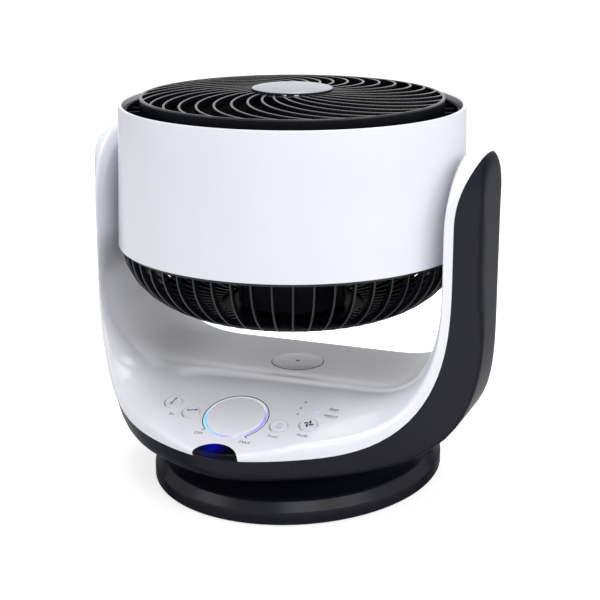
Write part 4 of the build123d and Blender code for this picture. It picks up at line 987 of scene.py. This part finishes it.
class FAN_OT_foot(bpy.types.Operator):
    """Oval foot: an upright band, a sloping shoulder and a rise to the neck"""
    bl_idname = "airfan.foot"
    bl_label = "Foot"

    HALF_X, HALF_Y, MIDDLE_Y, NECK_R, HOLE_R = 118.0, 139.0, 16.0, 86.0, 16.0
    WALL, INLET_AT, INLET_R = 2.0, (0.0, 155.0, 8.8), 4.6
    # (how far in from the oval, height, share of the way to the round neck)
    BAND = [(3.4, 1.0, 0), (0.6, 1.0, 0), (0, 1.8, 0), (0, 6.0, 0), (0, 10.5, 0), (0.4, 11.6, 0),
            (1.2, 12.6, 0), (2.9, 15.6, 0), (4.4, 18.0, 0), (5.2, 19.2, 0), (6.6, 20.2, 0.02)]
    RISE_FROM, RISE_TO, RISE_STEPS, AROUND = (9.0, 21.2, 0.08), (12.0, 40.0, 1.0), 8, 180

    def execute(self, context):
        rise = [[mix(pair, i / self.RISE_STEPS) for pair in zip(self.RISE_FROM, self.RISE_TO)]
                for i in range(self.RISE_STEPS + 1)]
        levels = [(ring, self.NECK_R) for ring in self.BAND + rise] + [(self.RISE_TO, self.HOLE_R)]
        rows = []
        for (shrink, z, neck), neck_r in levels:
            rows.append([])
            for i in range(self.AROUND):
                turn = 2 * pi * i / self.AROUND
                oval = Vector(((self.HALF_X - shrink) * cos(turn),
                               self.MIDDLE_Y + (self.HALF_Y - shrink) * sin(turn)))
                point = oval.lerp(Vector((neck_r * cos(turn), neck_r * sin(turn))), neck)
                rows[-1].append((point.x, point.y, z))
        bm = bmesh.new()
        net(bm, rows, closed_columns=True)
        made = to_object(bm, "foot_skin", charcoal_abs(), 40)
        face_outwards(made, (50, 0, 40), (0, 0, 1))
        thicken(made, self.WALL * MM)
        bm = bmesh.new()
        rod(bm, self.INLET_R, -8, 8, 48, shift(*self.INLET_AT) @ Matrix.Rotation(pi / 2, 4, "X"))
        cut(made, bm)
        piece(made, "base", "foot_shell", slot="dark_gloss")
        return {"FINISHED"}


class FAN_OT_inner_parts(bpy.types.Operator):
    """Finishes of the parts that keep their CAD shape"""
    bl_idname = "airfan.inner_parts"
    bl_label = "Inner parts"

    def execute(self, context):
        dress(black_satin(), "duct_ring", "fan_blade", "blade_nut", "control_frame", "swivel_carrier",
              "foot_plate", "power_inlet")
        # Natural nylon gears and bushes: milky and satin.
        dress(moulded("nylon_natural", linear("D8D7CE"), 0.42, 0.9, 0.01), "trunnion_left", "trunnion_right",
              "tilt_bush_left", "tilt_bush_right", "tilt_gear", "tilt_pinion", "swivel_gear",
              "swivel_pinion", "swivel_collar", "swivel_bearing")
        # Moulded PBT round the motor: dark, dull and finely grained.
        dress(moulded("motor_housing_pbt", linear("101119"), 0.5, 0.6, 0.03, 0.1, 0.2), "motor_housing")
        # Zinc plating is bluish grey and a little mottled; ground steel is brighter; cast iron is dull.
        dress(metal("zinc_plated_can", "6E7075", 0.4, 0.8), "tilt_motor", "swivel_motor")
        dress(metal("zinc_plated_screw", "A9ABB0", 0.35, 0.3), "grille_screws", "motor_screws",
              "spindle_screws", "shell_screws", "foot_screws")
        dress(metal("ground_steel", "B9BABD", 0.25, 0.4), "motor_shaft", "swivel_spindle")
        dress(metal("cast_iron_ballast", "3A3B3D", 0.7, 1.5), "foot_weight")
        # Green solder mask on a fibreglass board.
        dress(moulded("circuit_board_mask", linear("12492B"), 0.35, 1.2, 0.02, 0.2), "control_board",
              "main_board")
        # Moulded rubber pads: matt and dark.
        dress(moulded("rubber_pad", linear("17171A"), 0.8, 0.7, 0.05, 0.15, 0.3), "foot_pads")
        dress(light_pipe(), "indicator_lenses")
        return {"FINISHED"}


class FAN_OT_stage(bpy.types.Operator):
    """Pale floor, soft lamps and the camera"""
    bl_idname = "airfan.stage"
    bl_label = "Stage"

    FLOOR_HALF = 6.0
    CAMERA_AT, LENS, SENSOR = (0.4378, -1.1237, 0.4933), 91.89, 36.0
    BEARING, PITCH, YAW = 0.3715, 0.280, 0.005
    LAMPS_AIM = Vector((0, 0, 0.18))
    LAMPS = (("key_softbox", (1.4, -1.7, 1.7), (1.4, 1.4), 19),
             ("fill_softbox", (-1.7, -1.4, 1.4), (1.2, 1.2), 8),
             ("side_softbox", (2.2, -0.5, 1.2), (1.2, 1.2), 10),
             ("top_softbox", (0.1, 0.2, 2.3), (1.6, 1.4), 26))
    WORLD_STRENGTH = 0.5

    def camera(self):
        level = Vector((-sin(self.BEARING), cos(self.BEARING), 0))
        beside = Vector((cos(self.BEARING), sin(self.BEARING), 0))
        ahead = cos(self.PITCH) * (sin(self.YAW) * beside + cos(self.YAW) * level)
        ahead.z -= sin(self.PITCH)
        right = cos(self.YAW) * beside - sin(self.YAW) * level
        data = bpy.data.cameras.new("view")
        data.lens, data.sensor_width, data.sensor_fit = self.LENS, self.SENSOR, "HORIZONTAL"
        holder = placed("view", data)
        turn = Matrix((right, right.cross(ahead), -ahead)).transposed().to_4x4()
        holder.matrix_world = Matrix.Translation(self.CAMERA_AT) @ turn
        bpy.context.scene.camera = holder

    def lamp(self, name, at, size, power):
        data = bpy.data.lights.new(name, "AREA")
        data.shape, data.size, data.size_y, data.energy = "RECTANGLE", size[0], size[1], power
        way = (self.LAMPS_AIM - Vector(at)).to_track_quat("-Z", "Y").to_matrix().to_4x4()
        placed(name, data).matrix_world = Matrix.Translation(at) @ way

    def floor(self):
        bm = bmesh.new()
        bmesh.ops.create_grid(bm, x_segments=1, y_segments=1, size=self.FLOOR_HALF)
        # Seamless studio paper: matt white, and brighter to the camera than the light on it makes it.
        material = bpy.data.materials.new("studio_paper")
        tree = cleared(material)
        path = add(tree, "LightPath")
        paper = add(tree, "BsdfDiffuse", {"Color": (0.9, 0.9, 0.9, 1)})
        glow = add(tree, "Emission", {"Color": (1, 1, 1, 1), "Strength": 0.6})
        lit = add(tree, "AddShader", links={0: paper, 1: glow})
        seen = add(tree, "MixShader", links={0: path.outputs["Is Camera Ray"], 1: paper, 2: lit})
        add(tree, "OutputMaterial", links={"Surface": seen})
        made = to_object(bm, "floor", material)

    def world(self):
        """Dim light all round, and plain white to the camera, in gloss and through glass."""
        world = bpy.data.worlds.new("studio")
        tree = cleared(world)
        path = add(tree, "LightPath")
        seen = path.outputs["Is Camera Ray"]
        for ray in ("Is Glossy Ray", "Is Transmission Ray"):
            seen = add(tree, "Math", {"operation": "MAXIMUM"}, {0: seen, 1: path.outputs[ray]})
        dim = add(tree, "Background", {"Color": (0.95, 0.97, 1.0, 1), "Strength": self.WORLD_STRENGTH})
        white = add(tree, "Background", {"Color": (1, 1, 1, 1), "Strength": 1.0})
        both = add(tree, "MixShader", links={0: seen, 1: dim, 2: white})
        add(tree, "OutputWorld", links={"Surface": both})
        bpy.context.scene.world = world

    def execute(self, context):
        self.camera()
        self.floor()
        self.world()
        for lamp in self.LAMPS:
            self.lamp(*lamp)
        context.scene.view_settings.view_transform = "Standard"
        return {"FINISHED"}


class FAN_PT_panel(bpy.types.Panel):
    """Lists the fan's pieces, sizes and colours"""
    bl_idname = "FAN_PT_panel"
    bl_label = "Air Fan"
    bl_space_type = "VIEW_3D"
    bl_region_type = "UI"
    bl_category = "Air Fan"

    def draw(self, context):
        layout = self.layout
        for group in (context.scene.fan_sizes, context.scene.fan_colours):
            box = layout.box()
            for key in group.__annotations__:
                box.prop(group, key)
        for operator in OPERATORS:
            layout.operator(operator.bl_idname)


OPERATORS = (FAN_OT_stage, FAN_OT_drum, FAN_OT_front_grille, FAN_OT_hub_cap, FAN_OT_rear_grille,
             FAN_OT_cover, FAN_OT_outer_shell, FAN_OT_pivots, FAN_OT_controls, FAN_OT_markings,
             FAN_OT_foot, FAN_OT_inner_parts)
CLASSES = (FanSizes, FanColours) + OPERATORS + (FAN_PT_panel,)


def register():
    for kind in CLASSES:
        bpy.utils.register_class(kind)
    bpy.types.Scene.fan_sizes = PointerProperty(type=FanSizes)
    bpy.types.Scene.fan_colours = PointerProperty(type=FanColours)


def unregister():
    del bpy.types.Scene.fan_sizes
    del bpy.types.Scene.fan_colours
    for kind in reversed(CLASSES):
        bpy.utils.unregister_class(kind)


def main():
    register()
    for operator in OPERATORS:
        group, name = operator.bl_idname.split(".")
        getattr(getattr(bpy.ops, group), name)()
    bpy.context.view_layer.update()


if __name__ == "__main__":
    main()
